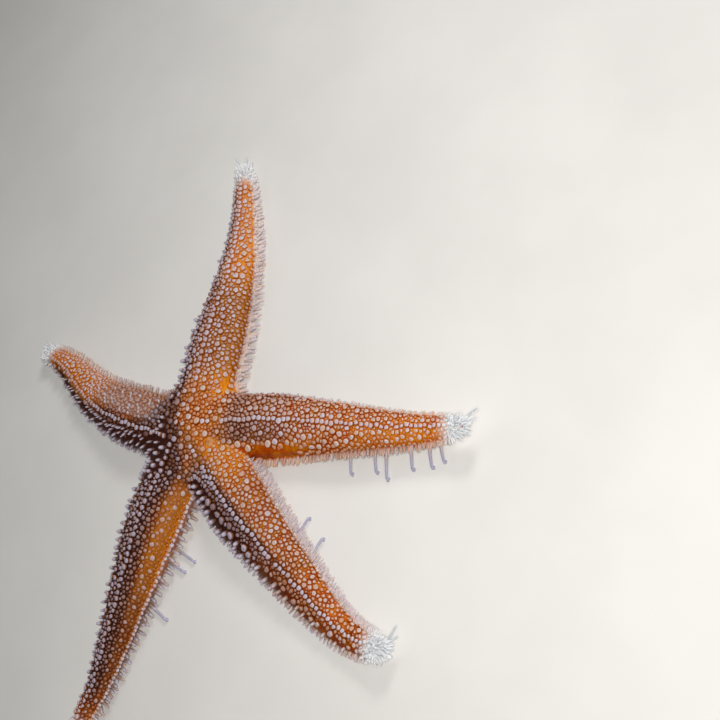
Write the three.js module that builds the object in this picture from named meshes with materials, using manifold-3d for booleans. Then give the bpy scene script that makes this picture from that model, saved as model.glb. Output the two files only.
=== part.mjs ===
// Common starfish (Asterias rubens), a still life-size museum model.
//
// Units are millimetres, +Z is up and the floor is z = 0. The origin is the
// centre of the animal's footprint on the floor. The central disc lies left of
// it; arm_a points to +Y, arm_b to +X, arm_c to +X -Y, arm_d to -X -Y, arm_e to
// -X +Y. The surfaces below are the outer envelope of the living animal: out to
// the tips of its short spines, with the soft skin a little way inside.
import * as THREE from 'three';
import { mergeVertices } from 'three/addons/utils/BufferGeometryUtils.js';
import Module from 'manifold-3d';

const wasm = await Module();
wasm.setup();

// ---------------------------------------------------------------- dimensions
const GAP = 0.3;                 // thin cut between neighbouring lengths
const DISC_CENTRE = [-10.68, -0.44]; // where the five arms meet, from the origin
const HEIGHT_TO_HALF_WIDTH = 1.15;
const TIP_RADIUS = 2.76;         // rounding of an arm's end
const COMB = 2.1;                // reach of the marginal spines past the flank
const DISC_RADIUS = 20.4;        // the disc's edge in the angles between arms
const DISC_HEIGHT = 12.7;
const GROOVE_HALF_WIDTH = 0.24;  // ambulacral groove, as a share of half-width
const GROOVE_DEPTH = 0.20;       // and as a share of the arm's height
const MOUTH_RADIUS = 5.2;
const MADREPORITE = { distance: 12.0, bearing: -30, radius: 2.1 };
const ALONG = 20;                // rings along an arm

// Share of the arm's greatest half-width, along its length.
const TAPER_AT = [0, 0.12, 0.30, 0.50, 0.68, 0.84, 0.94, 1.0];
const TAPER = [0.98, 0.98, 1.0, 0.85, 0.68, 0.50, 0.37, 0.29];

// heading in degrees from +X is  psi + k1 t + k2 t^2 + k3 t^3 + hook S(.72,1,t);
// length and half-width in mm; taper narrows the outer half; ridge shifts the
// crest to the arm's left; lifts are [from t, to t, rise in mm]; cuts are where
// the arm is parted, 0 at the disc's centre and 1 at the tip.
const ARMS = {
  a: { psi: 75.0, k1: -6.4, k2: 24.3, k3: 16.3, hook: -17.7, length: 93.8,
       width: 10.4, taper: 0.227, ridge: -0.04, lifts: [[0.80, 1, 2.4]],
       cuts: [0.25, 0.50, 0.78] },
  b: { psi: -2.0, k1: -30.2, k2: 17.7, k3: 12.6, hook: 0.2, length: 95.8,
       width: 9.6, taper: 0.247, ridge: 0.12, lifts: [[0.30, 0.70, 3.7], [0.80, 1, 1.9]],
       cuts: [0.325, 0.55, 0.79] },
  c: { psi: -57.1, k1: 23.5, k2: -6.1, k3: -9.5, hook: 32.4, length: 99.2,
       width: 10.5, taper: 0.238, ridge: 0.15, lifts: [[0.80, 1, 3.1]],
       cuts: [0.315, 0.54, 0.78] },
  d: { psi: -120.3, k1: 24.5, k2: -12.1, k3: -10.1, hook: -2.2, length: 100.5,
       width: 10.1, taper: 0.283, ridge: -0.07, lifts: [[0.80, 1, 2.5]],
       cuts: [0.25, 0.50, 0.76] },
  e: { psi: 160.4, k1: -1.2, k2: -31.5, k3: -19.6, hook: 41.6, length: 87.1,
       width: 9.8, taper: 0.054, ridge: 0.20, lifts: [[0.60, 1, 1.6]],
       cuts: [0.27, 0.52, 0.78] },
};

// Extended tube feet: [arm, t at the root, side (+1 left), share of half-width
// at the root, sideways reach of the sucker from the arm's midline in mm,
// t of the sucker]. Every sucker stands on the floor.
const TUBE_FEET = [
  ['b', 0.615, -1, 0.55, 11.6, 0.610], ['b', 0.700, -1, 0.55, 10.7, 0.695],
  ['b', 0.738, -1, 0.50, 12.4, 0.733], ['b', 0.818, -1, 0.50, 9.5, 0.810],
  ['b', 0.877, -1, 0.45, 9.0, 0.870], ['b', 0.913, -1, 0.40, 7.5, 0.905],
  ['c', 0.525, 1, 0.50, 13.4, 0.512], ['c', 0.605, 1, 0.50, 12.6, 0.594],
  ['d', 0.350, 1, 0.55, 17.0, 0.366], ['d', 0.396, 1, 0.55, 14.8, 0.408],
  ['d', 0.537, 1, 0.50, 14.6, 0.560],
];
const FOOT_RADIUS = 0.42;
const SUCKER_RADIUS = 0.72;

// Terminal feelers: [arm, angle from the arm's heading in degrees, length, rise].
const FEELERS = [
  ['a', 24, 7.0, 1.6], ['a', -20, 5.6, 2.2], ['a', -60, 5.0, 1.0],
  ['b', 38, 7.6, 1.8], ['b', 22, 5.8, 0.4], ['b', -48, 4.8, 0.6],
  ['c', 60, 8.6, 1.6], ['c', 48, 6.8, 0.2], ['c', 16, 4.6, 0.4],
  ['d', 30, 6.4, 1.2], ['d', -6, 5.6, 0.4], ['d', -42, 5.0, 1.6],
  ['e', -26, 5.4, 1.6], ['e', 52, 4.8, 0.6],
];
const FEELER_RADIUS = 0.36;

// ------------------------------------------------------------ small functions
const rad = (d) => (d * Math.PI) / 180;
const clamp01 = (q) => Math.min(1, Math.max(0, q));
const smooth = (a, b, x) => { const q = clamp01((x - a) / (b - a)); return q * q * (3 - 2 * q); };

// Monotone cubic through the taper table (Fritsch-Carlson slopes).
function monotone(xs, ys) {
  const n = xs.length, h = [], s = [], m = [];
  for (let i = 0; i < n - 1; i++) { h.push(xs[i + 1] - xs[i]); s.push((ys[i + 1] - ys[i]) / h[i]); }
  m.push(s[0]);
  for (let i = 1; i < n - 1; i++) {
    if (s[i - 1] * s[i] <= 0) { m.push(0); continue; }
    const w1 = 2 * h[i] + h[i - 1], w2 = h[i] + 2 * h[i - 1];
    m.push((w1 + w2) / (w1 / s[i - 1] + w2 / s[i]));
  }
  m.push(s[n - 2]);
  return (x) => {
    let i = 0;
    while (i < n - 2 && x > xs[i + 1]) i++;
    const t = clamp01((x - xs[i]) / h[i]), t2 = t * t, t3 = t2 * t;
    return (2 * t3 - 3 * t2 + 1) * ys[i] + (t3 - 2 * t2 + t) * h[i] * m[i]
      + (3 * t2 - 2 * t3) * ys[i + 1] + (t3 - t2) * h[i] * m[i + 1];
  };
}
const taperAt = monotone(TAPER_AT, TAPER);

const heading = (arm, t) => rad(arm.psi + arm.k1 * t + arm.k2 * t * t + arm.k3 * t ** 3
  + arm.hook * smooth(0.72, 1, t));
const lift = (arm, t) => arm.lifts.reduce((z, [a, b, h]) => z + h * smooth(a, b, t), 0);

// The midline of an arm on the floor, integrated from its heading.
function midline(arm, steps = 200) {
  const pts = [[...DISC_CENTRE]];
  for (let i = 0; i < steps; i++) {
    const m = heading(arm, (i + 0.5) / steps), ds = arm.length / steps;
    const [x, y] = pts[i];
    pts.push([x + Math.cos(m) * ds, y + Math.sin(m) * ds]);
  }
  return (t) => {
    const f = clamp01(t) * steps, i = Math.min(steps - 1, Math.floor(f)), q = f - i;
    return [pts[i][0] + (pts[i + 1][0] - pts[i][0]) * q, pts[i][1] + (pts[i + 1][1] - pts[i][1]) * q];
  };
}
for (const arm of Object.values(ARMS)) arm.at = midline(arm);

function halfWidth(arm, t) {
  const end = 1 - TIP_RADIUS / arm.length;
  const q = clamp01((t - end) / (1 - end));
  return arm.width * (1 - arm.taper * (t - 0.5)) * taperAt(t) * Math.sqrt(Math.max(1 - q * q, 0));
}

// A point of the arm's frame: u to the left of its heading, z up.
function place(arm, t, u, z) {
  const [x, y] = arm.at(t), h = heading(arm, t);
  return new THREE.Vector3(x - Math.sin(h) * u, y + Math.cos(h) * u, z + lift(arm, t));
}

// Section of an arm from the middle of the sole to the crest, one side:
// flat sole, comb of marginal spines, upright flank, domed back.
function halfSection(W, H, W0) {
  const comb = COMB * (0.45 + 0.55 * W / W0);
  return [
    [0, 0], [0.72 * W, 0], [0.93 * W + 0.35 * comb, 0.022 * H],
    [W + 0.95 * comb, 0.10 * H], [W + comb, 0.21 * H],
    [W + 0.38 * comb, 0.44 * H],
    [0.945 * W, 0.67 * H], [0.72 * W, 0.845 * H], [0.40 * W, 0.955 * H], [0, H],
  ];
}
function section(arm, t) {
  const W = Math.max(halfWidth(arm, t), 0.25), H = HEIGHT_TO_HALF_WIDTH * W;
  const half = halfSection(W, H, arm.width);
  const lean = (z) => arm.ridge * W * smooth(0, H, z);
  const loop = [];
  for (let i = 0; i < half.length; i++) loop.push([half[i][0] + lean(half[i][1]), half[i][1]]);
  for (let i = half.length - 2; i > 0; i--) loop.push([-half[i][0] + lean(half[i][1]), half[i][1]]);
  return loop;
}
const LOOP = 18; // points round a section

// ------------------------------------------------------------ solids and cuts
function solid(geometry) {
  const g = geometry.clone();
  for (const k of Object.keys(g.attributes)) if (k !== 'position') g.deleteAttribute(k);
  const m = mergeVertices(g, 1e-5);
  const v = new Float32Array(m.attributes.position.array);
  const t = new Uint32Array(m.index.array);
  let s = new wasm.Manifold(new wasm.Mesh({ numProp: 3, vertProperties: v, triVerts: t }));
  if (s.volume() < 0) {
    for (let i = 0; i < t.length; i += 3) [t[i], t[i + 1]] = [t[i + 1], t[i]];
    s = new wasm.Manifold(new wasm.Mesh({ numProp: 3, vertProperties: v, triVerts: t }));
  }
  return s;
}
function geometryOf(s) {
  const m = s.getMesh();
  const g = new THREE.BufferGeometry();
  g.setAttribute('position', new THREE.BufferAttribute(new Float32Array(m.vertProperties), 3));
  g.setIndex(new THREE.BufferAttribute(new Uint32Array(m.triVerts), 1));
  return g;
}
const union = (list) => list.reduce((a, b) => a.add(b));

// A closed cylinder whose rings are laid on the loops that ring(s) returns,
// s running 0 to 1. Ring points go round as the cylinder's own do.
function loft(around, along, ring) {
  const g = new THREE.CylinderGeometry(1, 1, 1, around, along);
  const p = g.attributes.position, rings = [];
  for (let i = 0; i <= along; i++) rings.push(ring(i / along));
  const centre = (r) => r.reduce((c, q) => c.add(q), new THREE.Vector3()).divideScalar(r.length);
  for (let i = 0; i < p.count; i++) {
    const s = 0.5 - p.getY(i), row = rings[Math.round(s * along)];
    const x = p.getX(i), z = p.getZ(i);
    if (Math.hypot(x, z) < 0.5) { const c = centre(row); p.setXYZ(i, c.x, c.y, c.z); continue; }
    const j = ((Math.round((Math.atan2(x, z) / (2 * Math.PI)) * around) % around) + around) % around;
    p.setXYZ(i, row[j].x, row[j].y, row[j].z);
  }
  return g;
}

// Rings stand closer together towards the tip.
const station = (s) => 1 - Math.pow(1 - s, 1.35);

const armBody = (arm) => solid(loft(LOOP, ALONG, (s) => {
  const t = Math.min(station(s), 0.9985);
  return section(arm, t).map(([u, z]) => place(arm, t, u, z));
}));

// The ambulacral groove, cut from the sole along the whole arm.
const armGroove = (arm) => solid(loft(4, 10, (s) => {
  const t = 0.02 + 0.93 * s, W = halfWidth(arm, t);
  const w = GROOVE_HALF_WIDTH * W, d = GROOVE_DEPTH * HEIGHT_TO_HALF_WIDTH * W * (1 - smooth(0.8, 1, s) * 0.7);
  return [[2.2 * w, -1.5 * d], [0.45 * w, d], [-0.45 * w, d], [-2.2 * w, -1.5 * d]]
    .map(([u, z]) => place(arm, t, u, z));
}));

// A bent round tube from a to c by way of b, radius r0 to r1, with flat ends.
function tube(a, b, c, r0, r1, around = 5, along = 4, flatFoot = false) {
  const curve = new THREE.QuadraticBezierCurve3(a, b, c);
  return solid(loft(around, along, (s) => {
    const o = curve.getPoint(s), d = curve.getTangent(s).normalize();
    if (flatFoot && s > 0.75) d.set(0, 0, -1);
    const e = new THREE.Vector3(0, 1, 0.3).cross(d).normalize(), f = d.clone().cross(e);
    let r = r0 + (r1 - r0) * (flatFoot ? smooth(0.75, 1, s) : s);
    const row = [];
    for (let j = 0; j < around; j++) {
      const q = (2 * Math.PI * j) / around;
      row.push(o.clone().addScaledVector(e, r * Math.cos(q)).addScaledVector(f, r * Math.sin(q)));
    }
    return row;
  }));
}

function tubeFoot([name, t, side, share, reach, t2]) {
  const arm = ARMS[name], W = halfWidth(arm, t);
  const a = place(arm, t, side * share * W, 1.2);
  const c = place(arm, t2, side * reach, 0); c.z = 0;
  const b = place(arm, (t + t2) / 2, side * (0.35 * share * W + 0.65 * reach), 0);
  b.z = Math.max(0.9, 0.62 * a.z);
  return tube(a, b, c, FOOT_RADIUS, SUCKER_RADIUS, 5, 3, true);
}
function feeler([name, angle, length, rise]) {
  const arm = ARMS[name], t = 1 - TIP_RADIUS * 0.75 / arm.length, h = heading(arm, 1) + rad(angle);
  const a = place(arm, t, 0, 1.5);
  const dir = new THREE.Vector3(Math.cos(h), Math.sin(h), 0);
  const c = a.clone().addScaledVector(dir, length); c.z += rise;
  const b = a.clone().addScaledVector(dir, length * 0.55); b.z += rise * 0.15;
  return tube(a, b, c, FEELER_RADIUS * 1.25, FEELER_RADIUS * 0.85, 5, 3);
}

// ------------------------------------------------------------------ the animal
// Low dome of the central disc, turned from its profile.
const discDome = () => {
  const R = DISC_RADIUS, H = DISC_HEIGHT;
  const profile = [[0, 0], [0.7 * R, 0], [R - 0.9, 0], [R, 0.5], [R + 0.5, 1.3], [R + 0.3, 2.6],
    [R - 1.0, 0.36 * H], [R - 3.0, 0.56 * H], [R - 6.2, 0.75 * H], [R - 10.2, 0.9 * H],
    [R - 15.0, 0.98 * H], [0, H]];
  const g = new THREE.LatheGeometry(profile.map(([x, y]) => new THREE.Vector2(x, y)), 25);
  g.rotateX(Math.PI / 2);
  g.translate(DISC_CENTRE[0], DISC_CENTRE[1], 0);
  return solid(g);
};

function upright(radius, z0, z1, x, y, sides = 18) {
  const g = new THREE.CylinderGeometry(radius, radius, z1 - z0, sides);
  g.rotateX(Math.PI / 2);
  g.translate(x, y, (z0 + z1) / 2);
  return solid(g);
}

const arms = Object.values(ARMS);
let body = union([discDome(), ...arms.map(armBody)]);
for (const arm of arms) body = body.subtract(armGroove(arm));
body = union([body, ...TUBE_FEET.map(tubeFoot), ...FEELERS.map(feeler)]);

// Mouth: a round recess in the sole with the soft membrane set up inside it.
const [CX, CY] = DISC_CENTRE;
body = body.subtract(upright(MOUTH_RADIUS + GAP, -2, 3.4, CX, CY));

// Madreporite: a small button let into the back between arms b and c.
const mb = rad(MADREPORITE.bearing);
const MX = CX + MADREPORITE.distance * Math.cos(mb), MY = CY + MADREPORITE.distance * Math.sin(mb);
const MADREPORITE_TOP = 11.1;
body = body.subtract(upright(MADREPORITE.radius + GAP, MADREPORITE_TOP - 1.9, MADREPORITE_TOP + 6, MX, MY, 14));

// Eyespots: a small red pad under the end of each arm's crown of spines.
const EYESPOT = { back: 1.1, up: 2.05, size: [0.62, 0.9, 0.55] };
function eyespotGeometry(arm, grow = 0) {
  const g = new THREE.SphereGeometry(1, 7, 5);
  g.scale(EYESPOT.size[0] + grow, EYESPOT.size[1] + grow, EYESPOT.size[2] + grow);
  g.rotateZ(heading(arm, 1));
  const p = place(arm, 1 - EYESPOT.back / arm.length, 0, EYESPOT.up);
  g.translate(p.x, p.y, p.z);
  return g;
}
for (const arm of arms) body = body.subtract(solid(eyespotGeometry(arm, GAP)));

// The thin cuts across the arms.
function slab(arm, t) {
  const g = new THREE.BoxGeometry(GAP, 2 * (halfWidth(arm, t) + COMB + 0.7), 60);
  g.rotateZ(heading(arm, t));
  const [x, y] = arm.at(t);
  g.translate(x, y, 0);
  return solid(g);
}
for (const arm of arms) for (const t of arm.cuts) body = body.subtract(slab(arm, t));

// Each loose piece is named for the arm and the length its middle falls in.
const LENGTHS = ['base', 'middle', 'outer'];
function nameOf(piece) {
  const b = piece.boundingBox(), c = [(b.min[0] + b.max[0]) / 2, (b.min[1] + b.max[1]) / 2];
  let best = ['disc', Math.hypot(c[0] - CX, c[1] - CY)];
  for (const [k, arm] of Object.entries(ARMS)) {
    for (let i = 0; i < 3; i++) {
      const t = (arm.cuts[i] + (arm.cuts[i + 1] ?? 1.0)) / 2, [x, y] = arm.at(t);
      const d = Math.hypot(c[0] - x, c[1] - y);
      if (d < best[1]) best = [`arm_${k}_${LENGTHS[i]}`, d];
    }
  }
  return best[0];
}

const orange = (shade) => new THREE.MeshStandardMaterial({
  color: new THREE.Color(0.80 * shade, 0.36 * shade, 0.10 * shade), roughness: 0.55, metalness: 0 });
const group = new THREE.Group();
group.name = 'starfish';
function addMesh(name, geometry, material) {
  const mesh = new THREE.Mesh(geometry, material);
  mesh.name = name;
  group.add(mesh);
}

const pieces = {};
for (const piece of body.decompose()) {
  if (piece.volume() < 1) continue;
  const name = nameOf(piece);
  pieces[name] = pieces[name] ? pieces[name].add(piece) : piece;
}
for (const name of Object.keys(pieces).sort()) {
  addMesh(name, geometryOf(pieces[name]), orange(name === 'disc' ? 0.95 : 1));
}

// The membrane: a shallow dome round a small puckered opening.
const mouthProfile = [[0, 2.1], [0.8, 1.9], [1.9, 1.15], [3.6, 1.35],
  [MOUTH_RADIUS, 2.2], [MOUTH_RADIUS, 3.1], [0, 3.1]];
const mouth = new THREE.LatheGeometry(mouthProfile.map(([x, y]) => new THREE.Vector2(x, y)), 18);
mouth.rotateX(Math.PI / 2);
mouth.translate(CX, CY, 0);
addMesh('mouth', geometryOf(solid(mouth)), new THREE.MeshStandardMaterial({
  color: new THREE.Color(0.78, 0.50, 0.32), roughness: 0.5, metalness: 0 }));

const buttonProfile = [[0, -1.6], [MADREPORITE.radius, -1.6], [MADREPORITE.radius, -0.35],
  [MADREPORITE.radius * 0.86, 0.15], [MADREPORITE.radius * 0.55, 0.42], [0, 0.5]];
const button = new THREE.LatheGeometry(buttonProfile.map(([x, y]) => new THREE.Vector2(x, y)), 14);
button.rotateX(Math.PI / 2);
button.translate(MX, MY, MADREPORITE_TOP);
addMesh('madreporite', geometryOf(solid(button)), new THREE.MeshStandardMaterial({
  color: new THREE.Color(0.85, 0.74, 0.70), roughness: 0.6, metalness: 0 }));

for (const [k, arm] of Object.entries(ARMS)) {
  addMesh(`eyespot_${k}`, geometryOf(solid(eyespotGeometry(arm))), new THREE.MeshStandardMaterial({
    color: new THREE.Color(0.42, 0.06, 0.04), roughness: 0.35, metalness: 0 }));
}

export default group;
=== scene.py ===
# Common starfish (Asterias rubens): the looks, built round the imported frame.
# Lengths below are in millimetres and are scaled to metres when meshes are made.
import math
import bpy
import numpy as np
from mathutils import Matrix, Vector
from mathutils.kdtree import KDTree


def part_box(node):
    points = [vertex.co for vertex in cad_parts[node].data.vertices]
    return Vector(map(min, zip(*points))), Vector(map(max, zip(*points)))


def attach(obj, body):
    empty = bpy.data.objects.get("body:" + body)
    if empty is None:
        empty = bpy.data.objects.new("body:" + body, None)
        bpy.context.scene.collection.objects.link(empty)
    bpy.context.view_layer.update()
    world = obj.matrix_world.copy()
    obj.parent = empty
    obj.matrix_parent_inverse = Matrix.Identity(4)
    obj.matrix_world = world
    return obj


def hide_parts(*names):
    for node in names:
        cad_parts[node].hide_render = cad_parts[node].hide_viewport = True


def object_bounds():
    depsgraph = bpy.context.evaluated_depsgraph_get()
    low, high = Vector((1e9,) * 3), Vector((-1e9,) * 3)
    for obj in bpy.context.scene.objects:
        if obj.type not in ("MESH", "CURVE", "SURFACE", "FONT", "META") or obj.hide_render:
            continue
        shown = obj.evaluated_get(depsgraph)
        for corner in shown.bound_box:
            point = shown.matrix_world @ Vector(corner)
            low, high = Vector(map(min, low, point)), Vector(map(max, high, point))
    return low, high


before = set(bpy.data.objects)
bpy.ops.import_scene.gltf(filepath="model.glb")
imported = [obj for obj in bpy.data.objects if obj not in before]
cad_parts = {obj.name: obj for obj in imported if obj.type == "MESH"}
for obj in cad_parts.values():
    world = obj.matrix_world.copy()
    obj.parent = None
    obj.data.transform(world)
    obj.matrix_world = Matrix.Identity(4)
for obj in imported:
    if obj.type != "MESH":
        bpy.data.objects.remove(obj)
CAD_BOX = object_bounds()
MM = 0.001
rng = np.random.default_rng(1758)

# ------------------------------------------------------------------ dimensions
CX, CY = -10.68, -0.44
HW = 1.15                      # height to half-width of an arm
TIP_R = 2.76
COMB = 2.1
TAPER_AT = [0, 0.12, 0.30, 0.50, 0.68, 0.84, 0.94, 1.0]
TAPER = [0.98, 0.98, 1.0, 0.85, 0.68, 0.50, 0.37, 0.29]
ARMS = {
    "a": dict(psi=75.0, k1=-6.4, k2=24.3, k3=16.3, hook=-17.7, L=93.8, W=10.4, tp=0.227, ridge=-0.04, lifts=[(0.80, 1, 2.4)]),
    "b": dict(psi=-2.0, k1=-30.2, k2=17.7, k3=12.6, hook=0.2, L=95.8, W=9.6, tp=0.247, ridge=0.12, lifts=[(0.30, 0.70, 3.7), (0.80, 1, 1.9)]),
    "c": dict(psi=-57.1, k1=23.5, k2=-6.1, k3=-9.5, hook=32.4, L=99.2, W=10.5, tp=0.238, ridge=0.15, lifts=[(0.80, 1, 3.1)]),
    "d": dict(psi=-120.3, k1=24.5, k2=-12.1, k3=-10.1, hook=-2.2, L=100.5, W=10.1, tp=0.283, ridge=-0.07, lifts=[(0.80, 1, 2.5)]),
    "e": dict(psi=160.4, k1=-1.2, k2=-31.5, k3=-19.6, hook=41.6, L=87.1, W=9.8, tp=0.054, ridge=0.20, lifts=[(0.60, 1, 1.6)]),
}
COAT_TOP = 1.15                # how far the skin lies inside the spine tips, on the back
COAT_SIDE = 0.75               # and on the flanks
SOLE = 1.0                     # height of the skin of the sole above the floor
DISC_R, DISC_H = 18.6, 9.5     # skin of the central disc
MOUTH_R = 5.2
VOX = 0.56


def S(a, b, x):
    q = np.clip((x - a) / (b - a), 0, 1)
    return q * q * (3 - 2 * q)


def mono(xs, ys, x):
    """Monotone cubic through a table."""
    xs, ys, x = np.asarray(xs, float), np.asarray(ys, float), np.asarray(x, float)
    h, d = np.diff(xs), np.diff(ys) / np.diff(xs)
    m = np.concatenate([[d[0]], np.zeros(len(xs) - 2), [d[-1]]])
    for i in range(1, len(xs) - 1):
        if d[i - 1] * d[i] > 0:
            w1, w2 = 2 * h[i] + h[i - 1], h[i] + 2 * h[i - 1]
            m[i] = (w1 + w2) / (w1 / d[i - 1] + w2 / d[i])
    i = np.clip(np.searchsorted(xs, x, side="right") - 1, 0, len(xs) - 2)
    t = np.clip((x - xs[i]) / h[i], 0, 1)
    return ((2 * t**3 - 3 * t**2 + 1) * ys[i] + (t**3 - 2 * t**2 + t) * h[i] * m[i]
            + (3 * t**2 - 2 * t**3) * ys[i + 1] + (t**3 - t**2) * h[i] * m[i + 1])


class Arm:
    def __init__(self, name, p):
        self.__dict__.update(p)
        self.name, n = name, 400
        self.n = n
        self.t = np.linspace(0, 1, n + 1)
        mid = self.heading((self.t[1:] + self.t[:-1]) / 2)
        self.x = CX + np.concatenate([[0], np.cumsum(np.cos(mid))]) * self.L / n
        self.y = CY + np.concatenate([[0], np.cumsum(np.sin(mid))]) * self.L / n

    def heading(self, t):
        return np.radians(self.psi + self.k1 * t + self.k2 * t**2 + self.k3 * t**3 + self.hook * S(0.72, 1, t))

    def at(self, t):
        return np.interp(t, self.t, self.x), np.interp(t, self.t, self.y)

    def width(self, t):
        """Half-width out to the tips of the coat."""
        end = 1 - TIP_R / self.L
        q = np.clip((t - end) / (1 - end), 0, 1)
        return self.W * (1 - self.tp * (np.clip(t, 0, 1) - 0.5)) * mono(TAPER_AT, TAPER, t) * np.sqrt(np.maximum(1 - q * q, 0))

    def skin_w(self, t):
        w = self.width(t)
        return np.maximum(w - COAT_SIDE * np.minimum(1, w / 5), 0.25)

    def skin_h(self, t):
        w = self.width(t)
        return np.maximum(HW * w - (COAT_TOP + SOLE) * np.minimum(1, w / 6), 0.30) * (0.78 + 0.22 * S(0.02, 0.27, t))

    def lift(self, t):
        return sum(h * S(a, b, t) for a, b, h in self.lifts)


arms = [Arm(k, p) for k, p in ARMS.items()]

# Skin section of an arm, right half, from the roof of the groove round to the
# crest: x as a share of the half-width, y as a share of the height.
HALF = [(0.0, 0.26), (0.10, 0.235), (0.19, 0.12), (0.235, 0.02), (0.30, 0.0), (0.60, 0.0), (0.84, 0.015),
        (0.955, 0.07), (0.985, 0.15), (0.965, 0.25), (0.955, 0.34), (0.975, 0.43), (0.97, 0.52),
        (0.925, 0.62), (0.845, 0.72), (0.73, 0.81), (0.58, 0.89), (0.41, 0.945), (0.24, 0.98), (0.10, 0.996), (0.0, 1.0)]


def spline_loop(pts, per=4):
    """Closed Catmull-Rom through pts."""
    p = np.array(pts, float)
    a, b, c, d = np.roll(p, 1, 0), p, np.roll(p, -1, 0), np.roll(p, -2, 0)
    out = []
    for k in range(per):
        t = k / per
        out.append(0.5 * ((2 * b) + (c - a) * t + (2 * a - 5 * b + 4 * c - d) * t * t + (3 * b - a - 3 * c + d) * t**3))
    return np.stack(out, 1).reshape(-1, 2)


def signed_table(poly, x0, x1, y0, y1, step):
    """Signed distance to a closed polygon on a grid, negative inside."""
    xs, ys = np.arange(x0, x1 + step, step), np.arange(y0, y1 + step, step)
    X, Y = np.meshgrid(xs, ys, indexing="ij")
    P = np.stack([X.ravel(), Y.ravel()], 1)
    best, inside = np.full(len(P), 1e9), np.zeros(len(P), bool)
    for A, B in zip(poly, np.roll(poly, -1, 0)):
        AB = B - A
        q = np.clip(((P - A) @ AB) / max(AB @ AB, 1e-12), 0, 1)
        best = np.minimum(best, ((P - A - q[:, None] * AB) ** 2).sum(1))
        cross = (A[1] > P[:, 1]) != (B[1] > P[:, 1])
        with np.errstate(divide="ignore", invalid="ignore"):
            xi = A[0] + (P[:, 1] - A[1]) * (B[0] - A[0]) / (B[1] - A[1])
        inside ^= cross & (P[:, 0] < xi)
    d = np.sqrt(best) * np.where(inside, -1, 1)
    return (x0, y0, step, d.reshape(X.shape).astype(np.float32))


def look(table, x, y):
    x0, y0, step, D = table
    fx, fy = np.clip((x - x0) / step, 0, D.shape[0] - 1.001), np.clip((y - y0) / step, 0, D.shape[1] - 1.001)
    i, j = fx.astype(np.int32), fy.astype(np.int32)
    a, b = fx - i, fy - j
    v = (D[i, j] * (1 - a) * (1 - b) + D[i + 1, j] * a * (1 - b) + D[i, j + 1] * (1 - a) * b + D[i + 1, j + 1] * a * b)
    out = np.maximum(np.abs(x - (x0 + fx * step)), np.abs(y - (y0 + fy * step)))
    return v + out


half = [(x, y * HW) for x, y in HALF]
ARM_POLY = spline_loop(half + [(-x, y) for x, y in half[-2:0:-1]])
ARM_TABLE = signed_table(ARM_POLY, -2.4, 2.4, -1.2, 2.8, 0.025)
_dome = [(0, 0), (8, 0), (14, 0), (DISC_R - 1.6, 0.1), (DISC_R - 0.4, 0.9), (DISC_R, 2.2), (DISC_R - 0.6, 0.38 * DISC_H),
         (DISC_R - 2.4, 0.58 * DISC_H), (DISC_R - 5.4, 0.76 * DISC_H), (DISC_R - 9.4, 0.90 * DISC_H), (DISC_R - 14, 0.975 * DISC_H), (0, DISC_H)]
DISC_POLY = np.array(_dome + [(-x, y) for x, y in _dome[-2:0:-1]], float)
DISC_TABLE = signed_table(DISC_POLY, -40, 40, -10, 26, 0.4)

# ------------------------------------------------------- the body as a distance field
lo, hi = np.array([CAD_BOX[0][i] for i in range(3)]) / MM - 2.0, np.array([CAD_BOX[1][i] for i in range(3)]) / MM + 2.0
lo[2] = -1.5
gx, gy, gz = (np.arange(lo[i], hi[i] + VOX, VOX) for i in range(3))
GX, GY = np.meshgrid(gx, gy, indexing="ij")
PX, PY = GX.ravel().astype(np.float32), GY.ravel().astype(np.float32)


def smin(a, b, k):
    h = np.maximum(k - np.abs(a - b), 0) / k
    return np.minimum(a, b) - h * h * k * 0.25


def locate(arm, x, y):
    """Nearest place on an arm's midline: t, sideways u (left +), and how far past an end."""
    step = 4
    sx, sy = arm.x[::step].astype(np.float32), arm.y[::step].astype(np.float32)
    best, idx = np.full(len(x), 1e9, np.float32), np.zeros(len(x), np.int32)
    for i in range(len(sx)):
        d = (x - sx[i]) ** 2 + (y - sy[i]) ** 2
        m = d < best
        best[m] = d[m]
        idx[m] = i
    h = arm.heading(arm.t[::step][idx])
    dx, dy = x - sx[idx], y - sy[idx]
    along = dx * np.cos(h) + dy * np.sin(h)
    t = arm.t[::step][idx] + along / arm.L
    past = np.maximum(t - 1, 0) * arm.L + np.maximum(-t, 0) * arm.L
    t = np.clip(t, 0, 1)
    ax, ay = arm.at(t)
    h = arm.heading(t)
    u = -(x - ax) * np.sin(h) + (y - ay) * np.cos(h)
    return t, u, past


field = None
owner_value = None
for k, arm in enumerate(arms):
    near = (np.abs(PX - (arm.x.min() + arm.x.max()) / 2) < (arm.x.max() - arm.x.min()) / 2 + 17) & \
           (np.abs(PY - (arm.y.min() + arm.y.max()) / 2) < (arm.y.max() - arm.y.min()) / 2 + 17)
    t, u, past = locate(arm, PX[near], PY[near])
    Ws, Hs, W0, z0 = arm.skin_w(t), arm.skin_h(t), arm.width(t), arm.lift(t) + SOLE
    vals = np.full((len(gz), len(PX)), 12.0, np.float32)
    for j, z in enumerate(gz):
        zz = (z - z0) / (Hs - 0.0)
        ur = u - arm.ridge * W0 * S(0, 1, zz)
        ue = np.sign(ur) * np.hypot(ur, past)
        vals[j, near] = look(ARM_TABLE, ue / Ws, zz * HW) * Ws
    field = vals if field is None else smin(field, vals, 3.2)
    if k == 0:
        owner_value, owner = vals.copy(), np.zeros(vals.shape, np.int8)
    else:
        m = vals < owner_value
        owner_value[m] = vals[m]
        owner[m] = k
rr = np.hypot(PX - CX, PY - CY)
dome = np.stack([look(DISC_TABLE, rr, np.full_like(rr, z - SOLE)) for z in gz])
field = smin(field, dome, 4.0)
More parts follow.
